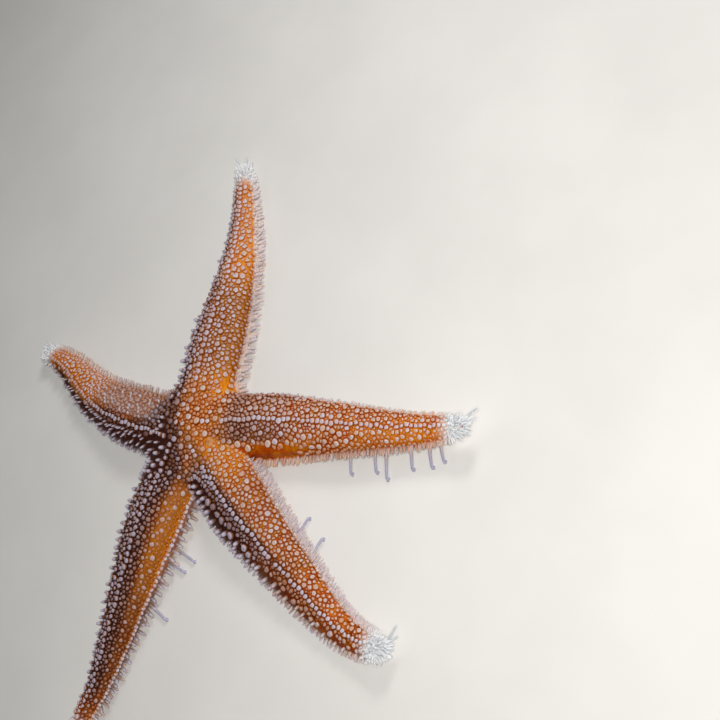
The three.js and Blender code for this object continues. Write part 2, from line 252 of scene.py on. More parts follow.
# recess of the mouth
hole = np.stack([np.maximum(rr - (MOUTH_R + 0.3), (z - 3.2)) for z in gz])
field = -smin(-field, hole, 0.8)
# the grooves run on through the disc to the mouth
near = rr < 36
for arm in arms:
    t, u, past = locate(arm, PX[near], PY[near])
    Ws, Hs, W0, z0 = arm.skin_w(t), arm.skin_h(t), arm.width(t), arm.lift(t) + SOLE
    narrow = np.interp(t, [0.05, 0.15], [0.70, 1.0])
    ends = np.maximum(np.maximum(MOUTH_R - 1.0 - rr[near], (t - 0.33) * arm.L), np.where(past > 0, 6.0, -6.0))
    for j, z in enumerate(gz):
        zz = (z - z0) / Hs
        ur = np.abs(u - arm.ridge * W0 * S(0, 1, zz)) / Ws
        wall = np.interp(zz, [-0.3, 0.0, 0.02, 0.12, 0.235, 0.26], [0.30, 0.265, 0.235, 0.19, 0.10, 0.0]) * narrow
        cut = np.maximum(np.maximum((ur - wall) * Ws * 0.85, (zz - 0.26) * Hs), ends)
        field[j, near] = -smin(-field[j, near], cut, 0.6)
# the joins of the arms don't sag below the sole
field = -smin(-field, -np.repeat((SOLE - 0.30 - gz)[:, None], field.shape[1], 1), 0.5)
field = np.ascontiguousarray(field.reshape(len(gz), len(gx), len(gy)).transpose(1, 2, 0)).astype(np.float32)
grad = [g.astype(np.float32) for g in np.gradient(field, VOX)]


def sample(arrs, P):
    """Trilinear values of grids at points in mm."""
    f = (P - lo) / VOX
    shape = np.array(field.shape)
    f = np.clip(f, 0, shape - 1.001)
    i = f.astype(np.int32)
    a = f - i
    out = []
    for A in arrs:
        v = 0
        for dx in (0, 1):
            for dy in (0, 1):
                for dz in (0, 1):
                    w = (a[:, 0] if dx else 1 - a[:, 0]) * (a[:, 1] if dy else 1 - a[:, 1]) * (a[:, 2] if dz else 1 - a[:, 2])
                    v = v + w * A[i[:, 0] + dx, i[:, 1] + dy, i[:, 2] + dz]
        out.append(v)
    return out


def project(P, rounds=4):
    """Points moved on to the skin, and its outward normals there."""
    P = P.copy()
    for _ in range(rounds):
        f, a, b, c = sample([field] + grad, P)
        g = np.stack([a, b, c], 1)
        P -= (f / np.maximum((g**2).sum(1), 0.05))[:, None] * g
    f, a, b, c = sample([field] + grad, P)
    g = np.stack([a, b, c], 1)
    return P, g / np.maximum(np.linalg.norm(g, axis=1, keepdims=True), 1e-6)


def surface_nets(F):
    """Quads on the zero surface: one point in each cell that it crosses."""
    ins = F < 0
    nx, ny, nz = F.shape
    c = np.zeros((nx - 1, ny - 1, nz - 1), np.int8)
    for dx in (0, 1):
        for dy in (0, 1):
            for dz in (0, 1):
                c += ins[dx:nx - 1 + dx, dy:ny - 1 + dy, dz:nz - 1 + dz]
    cells = np.argwhere((c > 0) & (c < 8))
    index = np.full(c.shape, -1, np.int32)
    index[tuple(cells.T)] = np.arange(len(cells))
    acc, cnt = np.zeros((len(cells), 3)), np.zeros(len(cells))
    corner = [(a, b, d) for a in (0, 1) for b in (0, 1) for d in (0, 1)]
    for p in corner:
        for ax in range(3):
            if p[ax]:
                continue
            q = list(p)
            q[ax] = 1
            fa = F[tuple((cells + np.array(p)).T)]
            fb = F[tuple((cells + np.array(q)).T)]
            m = (fa < 0) != (fb < 0)
            w = np.where(m, fa / np.where(m, fa - fb, 1), 0)
            pt = np.array(p, float) + np.zeros((len(cells), 3))
            pt[:, ax] += w
            acc[m] += pt[m]
            cnt[m] += 1
    V = (cells + acc / cnt[:, None]) * VOX + lo
    quads = []
    for ax in range(3):
        a1, a2 = (ax + 1) % 3, (ax + 2) % 3
        sl0, sl1 = [slice(None)] * 3, [slice(None)] * 3
        sl0[ax], sl1[ax] = slice(0, -1), slice(1, None)
        e = np.argwhere(ins[tuple(sl0)] != ins[tuple(sl1)])
        ok = (e[:, a1] > 0) & (e[:, a2] > 0) & (e[:, a1] < F.shape[a1] - 1) & (e[:, a2] < F.shape[a2] - 1)
        e = e[ok]
        flip = ins[tuple(e.T)]
        ids = []
        for o1, o2 in ((0, 0), (-1, 0), (-1, -1), (0, -1)):
            q = e.copy()
            q[:, a1] += o1
            q[:, a2] += o2
            ids.append(index[tuple(q.T)])
        Q = np.stack(ids, 1)
        Q[~flip] = Q[~flip][:, ::-1]
        quads.append(Q)
    return V, np.concatenate(quads)


SV, SQ = surface_nets(field)
SV, SN = project(SV, 3)
# keep the largest body of faces pointing out
_a, _b, _c, _d = (SV[SQ[:, i]] for i in range(4))
if (np.cross(_c - _a, _d - _b) * SN[SQ[:, 0]]).sum() < 0:
    SQ = SQ[:, ::-1]


def arm_coords(P):
    """For points on the skin: owning arm, t, u, height share, angle round the section."""
    own = np.zeros(len(P), np.int8)
    best = np.full(len(P), 1e9)
    T, U, Z, A = (np.zeros(len(P)) for _ in range(4))
    for k, arm in enumerate(arms):
        t, u, past = locate(arm, P[:, 0].astype(np.float32), P[:, 1].astype(np.float32))
        Ws, Hs, W0 = arm.skin_w(t), arm.skin_h(t), arm.width(t)
        zz = (P[:, 2] - arm.lift(t) - SOLE) / Hs
        ur = u - arm.ridge * W0 * S(0, 1, zz)
        score = np.hypot(ur, past) / np.maximum(Ws, 1.0) + 2.0 * (past > 0) * past / 10
        m = score < best
        best[m], own[m] = score[m], k
        T[m], U[m], Z[m] = t[m], (ur / Ws)[m], zz[m]
        A[m] = np.arctan2(ur / Ws, (zz - 0.32) * HW)[m]
    return own, T, U, Z, A


def coords_for(k, P):
    """t, height share and angle of points, all measured on arm k."""
    arm = arms[k]
    t, u, past = locate(arm, P[:, 0].astype(np.float32), P[:, 1].astype(np.float32))
    zz = (P[:, 2] - arm.lift(t) - SOLE) / arm.skin_h(t)
    ur = (u - arm.ridge * arm.width(t) * S(0, 1, zz)) / arm.skin_w(t)
    return t, zz, np.arctan2(ur, (zz - 0.32) * HW)


own, VT, VU, VZ, VA = arm_coords(SV)
print("skin", len(SV), "points", len(SQ), "quads; top", SV[:, 2].max(), "centre", SV[np.hypot(SV[:, 0] - CX, SV[:, 1] - CY) < 1.5][:, 2].max())

# ------------------------------------------------------------ an unwrap of the skin
CHART_L, CHART_H, UV_SCALE = 104.0, 62.0, 1 / 214.0


def chart(own, T, A):
    """Place on the unwrap: each arm is a strip, opened along its groove."""
    L = np.array([a.L for a in arms])[own]
    col, row = own % 2, own // 2
    return np.stack([(3 + col * CHART_L + T * L) * UV_SCALE, (4 + row * (CHART_H + 5) + (A / (2 * np.pi) + 0.5) * CHART_H) * UV_SCALE], 1)


# -------------------------------------------------------------------- mesh helpers
def make_mesh(name, V, faces, attrs=None, uv=None, smooth=True):
    """faces: list of arrays, each of faces with the same number of corners."""
    me = bpy.data.meshes.new(name)
    me.vertices.add(len(V))
    me.vertices.foreach_set("co", (np.asarray(V) * MM).astype(np.float32).ravel())
    loops = np.concatenate([f.ravel() for f in faces]).astype(np.int32)
    sizes = np.concatenate([np.full(len(f), f.shape[1], np.int32) for f in faces])
    me.loops.add(len(loops))
    me.loops.foreach_set("vertex_index", loops)
    me.polygons.add(len(sizes))
    me.polygons.foreach_set("loop_start", np.concatenate([[0], np.cumsum(sizes)[:-1]]).astype(np.int32))
    me.update(calc_edges=True)
    me.polygons.foreach_set("use_smooth", np.full(len(sizes), smooth))
    for key, val in (attrs or {}).items():
        me.attributes.new(key, "FLOAT", "POINT").data.foreach_set("value", np.asarray(val, np.float32))
    if uv is not None:
        layer = me.uv_layers.new(name="OFBake")
        per_loop = uv if len(uv) == len(loops) else uv[loops]
        layer.data.foreach_set("uv", np.asarray(per_loop, np.float32).ravel())
    ob = bpy.data.objects.new(name, me)
    bpy.context.scene.collection.objects.link(ob)
    return ob


def frame_of(D):
    """Two unit vectors square to each direction."""
    ref = np.where(np.abs(D[:, 2:3]) < 0.8, np.array([[0, 0, 1.0]]), np.array([[1.0, 0, 0]]))
    E = np.cross(ref, D)
    E /= np.linalg.norm(E, axis=1, keepdims=True)
    return E, np.cross(D, E)


def pegs(name, P, D, r, h, profile, around, attr, uv0, bend=None, squash=None, twist=None, wob=0.06, patch=0.0014, outline=None, frames=None, early=1.0):
    """Joined solid pegs. profile: (height share, radius share) from root to just under the top.
    attr: dict of one value per peg. bend: a vector per peg added with the square of height."""
    n, m, K = len(P), around, len(profile)
    if frames is None:
        E, F = frame_of(D)
        if twist is None:
            twist = rng.uniform(0, 2 * np.pi, n)
        c, s = np.cos(twist)[:, None], np.sin(twist)[:, None]
        E, F = E * c + F * s, F * c - E * s
    else:
        E, F = frames
    if squash is None:
        squash = rng.uniform(0.86, 1.0, n)
    ang = np.linspace(0, 2 * np.pi, m, endpoint=False)
    hs, rs = np.array([p[0] for p in profile]), np.array([p[1] for p in profile])
    if outline is None:
        wobble = 1 + wob * (rng.standard_normal((n, 1, 1)) * np.cos(2 * ang + rng.uniform(0, 6.28, (n, 1)))[:, None, :]
                            + rng.standard_normal((n, 1, 1)) * np.cos(3 * ang + rng.uniform(0, 6.28, (n, 1)))[:, None, :])
        R = (r[:, None] * rs[None, :])[:, :, None] * wobble                      # n,K,m
    else:
        R = outline[:, None, :] * rs[None, :, None]
    C = P[:, None, :] + D[:, None, :] * (h[:, None] * hs[None, :])[:, :, None]
    if bend is not None:
        C = C + bend[:, None, :] * (hs[None, :, None] ** 2)
    V = (C[:, :, None, :] + E[:, None, None, :] * (R * np.cos(ang))[..., None]
         + F[:, None, None, :] * (R * np.sin(ang) * squash[:, None, None])[..., None])
    top = P + D * h[:, None] + (0 if bend is None else bend)
    V[..., 2] = np.maximum(V[..., 2], 0.05)
    top[:, 2] = np.maximum(top[:, 2], 0.10)
    return lathes(name, V, top, np.clip(hs, 0, 1) ** early, attr, uv0, patch)


def lathes(name, V, top, hs, attr, uv0, patch=0.0014):
    """Joined solids from rings of points (n, K, m, 3), each closed by a flat root and a point."""
    n, K, m = V.shape[:3]
    V = np.concatenate([V.reshape(n, K * m, 3), top[:, None, :]], 1)          # n, K*m+1, 3
    per = K * m + 1
    j = np.arange(m)
    j1 = (j + 1) % m
    quads = np.concatenate([np.stack([k * m + j, k * m + j1, (k + 1) * m + j1, (k + 1) * m + j], 1) for k in range(K - 1)])
    tris = np.stack([(K - 1) * m + j, (K - 1) * m + j1, np.full(m, K * m)], 1)
    base = j[::-1][None, :]
    off = (np.arange(n) * per)[:, None, None]
    faces = [(quads[None] + off).reshape(-1, 4), (tris[None] + off).reshape(-1, 3), (base[None] + off).reshape(-1, m)]
    H = np.concatenate([np.repeat(hs, m), [1.0]])
    attrs = {"sp_h": np.tile(H, n)}
    for key, val in attr.items():
        attrs[key] = np.repeat(val, per)
    ang = np.linspace(0, 2 * np.pi, m, endpoint=False)
    q = patch * (1 - 0.93 * np.clip((np.arange(K) + 0.0) / K, 0, 1))
    loc = np.concatenate([(q[:, None, None] * np.stack([np.cos(ang), np.sin(ang)], 1)[None]).reshape(-1, 2), [[0, 0]]])
    uv = (uv0[:, None, :] + loc[None]).reshape(-1, 2)
    return make_mesh(name, V.reshape(-1, 3), faces, attrs, uv)


def tubes(name, path, rad, around, attr, uv0, patch=0.0014):
    """Joined solid tubes: path (n, K, 3), rad (n, K); the last point is the closed end."""
    n, K = path.shape[:2]
    tan = np.gradient(path, axis=1)
    tan /= np.maximum(np.linalg.norm(tan, axis=2, keepdims=True), 1e-9)
    mean = path[:, -1] - path[:, 0]
    mean /= np.maximum(np.linalg.norm(mean, axis=1, keepdims=True), 1e-9)
    e0, _ = frame_of(mean)
    E = e0[:, None, :] - (e0[:, None, :] * tan).sum(2, keepdims=True) * tan
    E /= np.linalg.norm(E, axis=2, keepdims=True)
    F = np.cross(tan, E)
    ang = np.linspace(0, 2 * np.pi, around, endpoint=False)
    V = (path[:, :-1, None, :] + E[:, :-1, None, :] * (rad[:, :-1, None] * np.cos(ang))[..., None]
         + F[:, :-1, None, :] * (rad[:, :-1, None] * np.sin(ang))[..., None])
    return lathes(name, V, path[:, -1], np.linspace(0, 1, K)[:-1], attr, uv0, patch)


# --------------------------------------------------------- where the spines stand
_poly = ARM_POLY.copy()
_ang = np.arctan2(_poly[:, 0], _poly[:, 1] - 0.32 * HW)
_o = np.argsort(_ang)
_pa = np.concatenate([_ang[_o] - 2 * np.pi, _ang[_o], _ang[_o] + 2 * np.pi])
_px, _py = np.tile(_poly[_o, 0], 3), np.tile(_poly[_o, 1], 3)


def on_arm(k, t, alpha):
    """Points of an arm's skin by place along it and angle round it (0 crest, + left)."""
    arm = arms[k]
    t, alpha = np.broadcast_arrays(np.asarray(t, float), np.asarray(alpha, float))
    sx, sy = np.interp(alpha, _pa, _px), np.interp(alpha, _pa, _py) / HW
    x, y = arm.at(t)
    h = arm.heading(t)
    u = sx * arm.skin_w(t) + arm.ridge * arm.width(t) * S(0, 1, sy)
    return np.stack([x - np.sin(h) * u, y + np.cos(h) * u, SOLE + arm.lift(t) + sy * arm.skin_h(t)], 1)


def keep_own(P, k, reach=1.7):
    """Those of one arm's points that lie on the joined skin, moved on to it, with normals."""
    Q, N = project(P)
    o, T, U, Z, A = arm_coords(Q)
    ok = (np.linalg.norm(Q - P, axis=1) < reach) & (o == k)
    return ok, Q, N, T, A


def steps_along(arm, t0, t1, gap):
    """Places along an arm, gap(t) mm apart."""
    out, t = [], t0
    while t < t1:
        out.append(t)
        t += gap(t) / arm.L
    return np.array(out)


rel = lambda arm, t: arm.width(t) / arm.W       # 1 at the thickest, less at the tip
PEG = 0.86                                      # size of all the pegs of the back


def crest_at(name, t):
    """Angle at which the row of the crest stands."""
    if name == "e":
        return 0.20 * S(0.75, 0.45, t)
    if name == "c":
        return -0.20 * S(0.95, 0.55, t) - 0.05 * S(0.40, 0.05, t)
    return 0.0 * t


rows = []                                       # point, radius, class
for ang_, dist_, r_ in [(1.9, 9.5, 1.12), (1.25, 9.0, 1.10), (0.2, 6.0, 1.12), (-0.9, 5.0, 1.18), (-1.5, 6.2, 1.10), (0.8, 4.0, 0.98),
                        (2.6, 5.5, 0.98), (-0.35, 9.8, 1.06), (-2.2, 4.2, 0.96), (-0.75, 12.0, 1.02), (-1.1, 14.5, 1.05), (0.1, 12.5, 1.0)]:
    rows.append((project(np.array([[CX + dist_ * math.cos(ang_), CY + dist_ * math.sin(ang_), 11.0]]), 8)[0][0], r_, 0))
for k, arm in enumerate(arms):
    size = lambda t: PEG * (0.62 + 0.38 * rel(arm, t))
    t = steps_along(arm, 0.06, 0.955, lambda t: (1.78 if arm.name in "bce" else 2.05) * (0.66 + 0.34 * rel(arm, t)))
    a = rng.normal(0, 0.03, len(t)) / np.maximum(rel(arm, t), 0.3)
    a += crest_at(arm.name, t)
    ok, Q, N, T, A = keep_own(on_arm(k, t, a), k, 3.0)
    r = rng.uniform(0.86, 1.06, len(t)) * size(t)
    rows += [(q, x, 4) for q, x, f in zip(Q, r, ok) if f]
    for base, gap, chance, spread in ((0.42, 2.9, 0.25 if arm.name in "ce" else 0.75, 0.09), (0.80, 2.65, 0.78, 0.09), (1.34, 2.05, 0.96, 0.03)):
        for side in (-1, 1):
            line = arm.name == "a" and base == 0.80 and side == 1       # a second pale line, on arm a's left
            t = steps_along(arm, 0.14, 0.93, lambda t: (1.75 if line else gap) * (0.72 + 0.28 * rel(arm, t)) * (rng.uniform(0.92, 1.08) if line else rng.uniform(0.8, 1.25)))
            a = side * (base + rng.normal(0, 0.03 if line else spread, len(t)) / np.maximum(rel(arm, t), 0.35))
            ok, Q, N, T, A = keep_own(on_arm(k, t, a), k)
            big = (0.90, 1.12) if base < 1 else (0.56, 0.78)
            r = rng.uniform(*big, len(t)) * size(t) * (0.84 if arm.name == "d" else 1)
            ok &= rng.random(len(t)) < (1 if line else chance)
            rows += [(q, x, 0 if base < 1 else 1) for q, x, f in zip(Q, r, ok) if f]

# on the inner part of arm e the pegs of the lit side stand in slanting rows
for j in range(9):
    a = -np.arange(0.22, 1.02, 0.155) + rng.normal(0, 0.02, 6)
    t = 0.13 + 0.054 * j + 0.070 * (-a - 0.2) + rng.normal(0, 0.003, 6)
    ok, Q, N, T, A = keep_own(on_arm(4, t, a), 4)
    rows += [(q, x, 5) for q, x, f in zip(Q, rng.uniform(0.50, 0.60, 6), ok) if f]

GAPR = 0.055
back = np.flatnonzero((np.abs(VA) < 1.50) & (VZ > 0.30) & (SN[:, 2] > -0.25))
jit = rng.uniform(-0.26, 0.26, (len(back), 3))
pool = SV[back] + jit - SN[back] * (jit * SN[back]).sum(1)[:, None]
pool_t, pool_own, pool_a = VT[back], own[back], VA[back]


def bare(own, T, A):
    """Share of pegs left out: smooth channels by the edge rows, and the outer arm a."""
    o, t, a = own, T, np.abs(A)
    right, left = A < 0, A > 0
    b = np.zeros(len(T))
    edge = a + 0.07 * np.sin(61 * t + 1.0) + 0.05 * np.sin(113 * t)
    b = np.maximum(b, (o == 1) * right * S(0.07, 0.11, t) * S(0.60, 0.40, t) * S(0.92, 1.04, edge) * 1.45)
    b = np.maximum(b, (o == 0) * right * S(0.12, 0.15, t) * S(0.215, 0.185, t) * S(0.92, 1.02, a) * 1.45)
    b = np.maximum(b, (o == 3) * left * S(0.10, 0.15, t) * S(0.34, 0.26, t) * S(0.92, 1.05, a))
    b = np.maximum(b, (o == 0) * right * S(0.12, 0.18, t) * S(0.32, 0.24, t) * S(1.0, 1.12, a))
    b = np.maximum(b, (o == 0) * 0.62 * S(0.50, 0.66, t) * S(0.10, 0.30, a))
    b = np.maximum(b, (o == 4) * 0.50 * S(0.48, 0.62, t) * S(0.10, 0.30, a))
    b = np.maximum(b, (o == 2) * left * 0.55 * S(0.18, 0.26, t) * S(0.74, 0.62, t) * S(1.02, 1.15, a))
    return np.clip(b * 0.72, 0, 1)


def shade_side(P, N, own):
    """How far a place faces left and down, away from the lamps: there the coat is sparse and long, and the painted
    shade makes it lilac on brown.
    """
    w = -(N[:, 0] * 0.85 + N[:, 1] * np.where(own == 1, -0.15, 0.30))
    r = np.hypot(P[:, 0] - CX, P[:, 1] - CY)
    return (w + 0.40 * S(3, -9, P[:, 0] - CX) * S(27, 13, r) + 0.12 * (own == 3) + 0.15 * (own == 2) * S(12, 22, r)
            + 0.12 * (own == 4) * (N[:, 1] < 0.15) * S(12, 22, r))


def thin_west(P, N, own):
    return S(0.34, 0.66, shade_side(P, N, own))


pool_bare = bare(pool_own, pool_t, pool_a)
pool_west = thin_west(SV[back], SN[back], pool_own)
pool_apart = 0.42 * (pool_own == 0) * S(0.40, 0.60, pool_t) * S(0.16, -0.10, pool_a) * (np.abs(pool_a) < 1.15) + 0.22 * (pool_own == 0) * S(0.45, 0.65, pool_t)
pool_apart += 0.30 * (pool_own == 4) * S(0.52, 0.66, pool_t) + 0.20 * (pool_own == 3) * S(0.10, 0.20, pool_t)
pool_apart += 0.50 * (pool_own == 1) * S(-0.95, -1.10, pool_a) * S(0.80, 0.45, pool_t)
pool_size = np.array([PEG * (0.62 + 0.38 * rel(arms[o], t)) for o, t in zip(pool_own, pool_t)]) * np.where(pool_own == 3, 1 - 0.16 * S(0.08, 0.2, pool_t), 1)
tree = KDTree(len(pool))
for i, p in enumerate(pool):
    tree.insert(p, i)
tree.balance()
clear = np.full(len(pool), 9.0)
clear_big = np.full(len(pool), 9.0)
G_P, G_R, G_C = [], [], []
_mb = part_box("madreporite")
MAD_XY = np.array([(_mb[0][0] + _mb[1][0]) / 2, (_mb[0][1] + _mb[1][1]) / 2]) / MM
MAD_R = 1.45


def claim(p, r, cls, apart=0.0):
    G_P.append(p)
    G_R.append(r)
    G_C.append(cls)
    for co, i, d in tree.find_range(p, r + apart + 1.4):
        c = d - r - apart - GAPR
        if c < clear[i]:
            clear[i] = c
    if cls in (0, 4):
        for co, i, d in tree.find_range(p, 3.2):
            if d < clear_big[i]:
                clear_big[i] = d


def project1(x, y, z):
    P, N = project(np.array([[x, y, z]]), 8)
    return P[0], N[0]


mad_p, mad_n = project1(MAD_XY[0], MAD_XY[1], 11.0)
claim(mad_p, MAD_R + 0.1, 3)
done = []
for p, r, c in rows:
    # row pegs too close to one already there are left out
    bad = False
    for q, rq in done[-3:]:
        if np.linalg.norm(p - q) < 0.80 * (r + rq):
            bad = True
    if np.linalg.norm(p - mad_p) < MAD_R + r or bad:
        continue
    _, i, d = tree.find(p)
    if clear[i] < 0.55 * r or (pool_bare[i] > 0.6 and (abs(pool_a[i]) < 1.25 or pool_own[i] == 1)):
        continue
    done.append((p, r))
    claim(p, min(r, max(clear[i], 0.75 * r)), c, 0 if c == 4 else 1.0 * pool_west[i])
n_rows = len(G_P)
for cls, r0, r1, chance in ((0, 0.72, 1.02, 0.60), (1, 0.58, 0.80, 0.80), (1, 0.46, 0.60, 0.92), (2, 0.36, 0.46, 0.95), (2, 0.28, 0.34, 0.55)):
    order = rng.permutation(len(pool))
    rad = rng.uniform(r0, r1, len(pool)) * pool_size
    luck = rng.random(len(pool))
    thin = (1 - 0.45 * S(0.80, 0.97, pool_t) * (cls > 0)) * (1 - pool_west * (0.9 if cls == 2 else 0.65 if r1 < 0.7 else 0.0))
    for i in order:
        r = rad[i]
        if clear[i] < r or luck[i] > chance * thin[i] * (1 - pool_bare[i]):
            continue
        if cls == 0 and (clear_big[i] < 2.7 or abs(pool_a[i]) > 1.15):
            continue
        claim(pool[i], r, cls, 1.25 * pool_west[i] + pool_apart[i])
G_P, G_R, G_C = np.array(G_P), np.array(G_R), np.array(G_C)
crest, slant = G_C == 4, G_C == 5
G_C[crest] = 0
G_C[slant] = 1
# grow each to just short of its neighbours
kt = KDTree(len(G_P))
for i, p in enumerate(G_P):
    kt.insert(p, i)
kt.balance()
for i in rng.permutation(len(G_P)):
    room = 9.0
    for co, j, d in kt.find_range(G_P[i], G_R[i] + 1.5):
        if j != i:
            room = min(room, d - G_R[j] - GAPR)
    if room < 9:
        G_R[i] = np.clip(room, G_R[i] * 0.86, G_R[i] * 1.22)
G_P, G_N = project(G_P)
g_own, g_t, _, g_z, g_a = arm_coords(G_P)
print("back: rows", n_rows, "all", len(G_P), "by class", [int((G_C == c).sum()) for c in range(3)])


# ------------------------------------------------------------------- markings
def arm_tangent(own, T):
    h = np.zeros(len(T))
    for k, arm in enumerate(arms):
        m = own == k
        h[m] = arm.heading(T[m])
    return np.stack([np.cos(h), np.sin(h), np.zeros(len(T))], 1)


_waves = [(rng.normal(0, 1, 3) / s, rng.uniform(0, 6.28), a) for s, a in ((9, 0.5), (9, 0.5), (5, 0.35), (5, 0.35), (3.2, 0.25), (3.2, 0.25))]


def cloud(P):
    """A slow, smooth random value at points in mm, about -1 to 1."""
    return sum(a * np.sin(P @ k + f) for k, f, a in _waves) / 1.1


def markings(P, N, own, T, Z, A):
    """Shares of the colours at points: brown mixed with painted shade, pale underside, red, blue-white of the tips,
    pale edges made paler on the lit sides by painted light, and gold brightened by painted light on the lit sides.
    """
    c = cloud(P)
    rr = np.hypot(P[:, 0] - CX, P[:, 1] - CY)
    # painted shade: arm b's north flank, the sides turned away from the lamps, the west half of the disc and much of
    # arm d are darkened towards brown and violet; in part the skin there is brown as well
    north_flank = np.clip(N[:, 1] * 0.9 - 0.25, 0, 1) * (own == 1) * S(0.62, 0.30, T)
    disc_shade = 0.47 * S(26, 8, rr) * (0.75 + 0.45 * c)
    shade_and_brown = (S(-0.02, 0.50, shade_side(P, N, own) + 0.07 * c) + disc_shade * S(9, -9, P[:, 0] - CX) + 0.35 * north_flank
          + (own == 3) * (0.30 + 0.34 * S(0.35, 0.65, T) + 0.78 * S(0.98, 0.20, A) * (1 - 0.25 * np.clip(c, -1, 1)) - 0.40 * S(1.25, 1.45, A) * S(1.68, 1.58, A) + 0.30 * S(1.58, 1.68, A)) * S(0.04, 0.16, T) + 0.26 * (own == 0) * S(0.70, 1.0, A) * S(0.08, 0.2, T) * S(0.92, 0.75, T) + (0.42 + 0.26 * S(0.15, -0.25, A)) * (own == 1) * S(0.52, 0.33, T) * S(0.08, 0.22, T) * S(-0.95, -0.78, A) + (own == 4) * (0.50 + 0.35 * S(-0.1, 0.4, A)) * S(0.66, 0.48, T)
          + 0.46 * (own == 0) * S(0.14, 0.27, T) * S(0.60, 0.45, T) + 0.14 * (own == 1) * S(0.4, 0.5, T) * S(0.85, 0.7, T) + 0.40 * (own == 2) * S(0.08, -0.10, A) * S(-0.9, -0.3, A) + 0.36 * (own == 2) * S(0.22, 0.36, T) * S(0.9, 0.6, T))
    shade_and_brown = np.clip(shade_and_brown, 0, 1)
    shade_and_brown *= (1 - 0.75 * S(0.80, 0.95, T)) * (1 - 0.50 * (own == 2) * S(0.40, 0.72, T)) * (1 - 0.6 * (own == 4) * S(0.42, 0.60, T) * S(0.6, 0.2, A))
    in_groove = S(2.22, 2.36, np.abs(A)) * S(0.34, 0.28, Z)
    ul = np.maximum(S(0.14, 0.02, Z) * S(-0.1, -0.7, N[:, 2]), in_groove)
    shade_and_brown = shade_and_brown * (1 - S(2.0, 2.2, np.abs(A)))
    rd = np.clip(0.35 + 0.55 * c + 0.22 * S(-0.1, -0.6, N[:, 1]) * (own == 1) * S(0.5, 0.3, T) - 0.25 * (own == 2) * S(0.1, 0.3, T) * (A > -0.2), 0, 1)
    rd = np.clip(rd + 0.45 * S(24, 10, rr), 0, 1) * S(-0.2, 0.5, N[:, 2] + 0.5) * (1 - 0.25 * (own == 1) * S(-0.75, -0.95, A) * S(0.08, 0.16, T))
    rd = np.where(own == 4, 0.3 * rd, rd) * S(-16, -8, np.minimum(P[:, 0] - CX, 0) * S(24, 16, rr))
    rd = np.where(own == 3, 0.80 * S(0.08, 0.22, T) * S(-0.25, 0.45, A) * S(1.62, 1.52, A), rd * (1 - 0.9 * S(0.40, 0.75, T) * np.isin(own, (0, 1, 4))))
    tip = S(0.905, 0.965, T)
    a = np.abs(A)
    wide = 0.24 * S(0.72, 0.50, T)
    # pale edge spines, made paler only on the sides turned to the lamps: partly their own colour, partly painted light
    pale = (own == 0) * np.where(A < 0, S(1.24 + wide, 1.36 + wide, a), 0.30 * S(1.30, 1.5, a)) * S(0.10, 0.20, T)
    pale = np.maximum(pale, 0.08 * (own == 0) * S(0.50, 0.75, T))
    pale = np.maximum(pale, (own == 2) * (A > 0) * S(1.28, 1.42, a) * S(0.10, 0.2, T))
    pale = np.maximum(pale, (own == 3) * (A > 0) * 0.16 * S(1.46, 1.58, a) * S(0.14, 0.2, T))
    pale = np.maximum(pale, (own == 4) * (A < 0) * (0.24 * S(0.05, 0.4, a) * S(1.15, 0.80, a) * S(0.60, 0.45, T) * S(0.12, 0.24, T) + 0.20 * S(0.85, 1.30, a) * S(0.10, 0.30, T)))
    # painted light: bright gold over the orange on the sides, the disc half and the arm ends that face the lamps
    lit_gold = (own == 0) * (0.25 + 0.75 * np.maximum(S(0.30, 0.0, A), 0.8 * S(0.40, 0.62, T))) * S(0.06, 0.20, T) * (0.8 + 0.3 * c) + (own == 1) * (0.15 + 0.55 * S(0.0, -0.3, A)) * S(0.58, 0.80, T)
    lit_gold += (own == 2) * (A > -0.35) * (0.55 + 0.35 * S(0.30, 0.22, T)) * S(0.62, 0.40, T) * (0.7 + 0.5 * c) + (own == 0) * 0.95 * S(-0.55, -0.85, A) * S(0.92, 0.78, T) + (own == 3) * 0.85 * S(0.60, 0.90, A) * S(1.62, 1.50, A) * S(0.12, 0.2, T) * S(0.75, 0.35, T)
    lit_gold += (own == 4) * 0.85 * S(0.40, 0.60, T) + 0.65 * S(18, 8, rr) * np.clip(c + 0.35, 0, 1) * S(-8, 2, P[:, 0] - CX)
    return np.clip(shade_and_brown, 0, 1), ul, rd, tip, pale * S(2.3, 2.0, a), np.clip(lit_gold, 0, 1)


ATTR = ("of_dark", "of_under", "of_red", "of_tip", "of_pale", "of_gold")
s_marks = markings(SV, SN, own, VT, VZ, VA)

# ------------------------------------------------------------------------ skin
_o4 = own[SQ]
face_own = _o4[:, 0].copy()
uvq = np.zeros((len(SQ), 4, 2))
for k in range(5):
    m = face_own == k
    q = SQ[m]
    tq, zq, aq = coords_for(k, SV[q.ravel()])
    tq, aq = tq.reshape(-1, 4), aq.reshape(-1, 4)
    wrap = (aq.max(1) - aq.min(1)) > np.pi
    aq[wrap] = np.where(aq[wrap] < 0, aq[wrap] + 2 * np.pi, aq[wrap])
    uvq[m] = chart(np.full(tq.size, k), tq.ravel(), aq.ravel()).reshape(-1, 4, 2)
# a search tree of the places of the pegs
near_t = KDTree(len(G_P))
for i, p in enumerate(G_P):
    near_t.insert(p, i)
near_t.balance()
skin = make_mesh("skin", SV, [SQ.astype(np.int32)], dict(zip(ATTR, s_marks)), uvq.reshape(-1, 2))

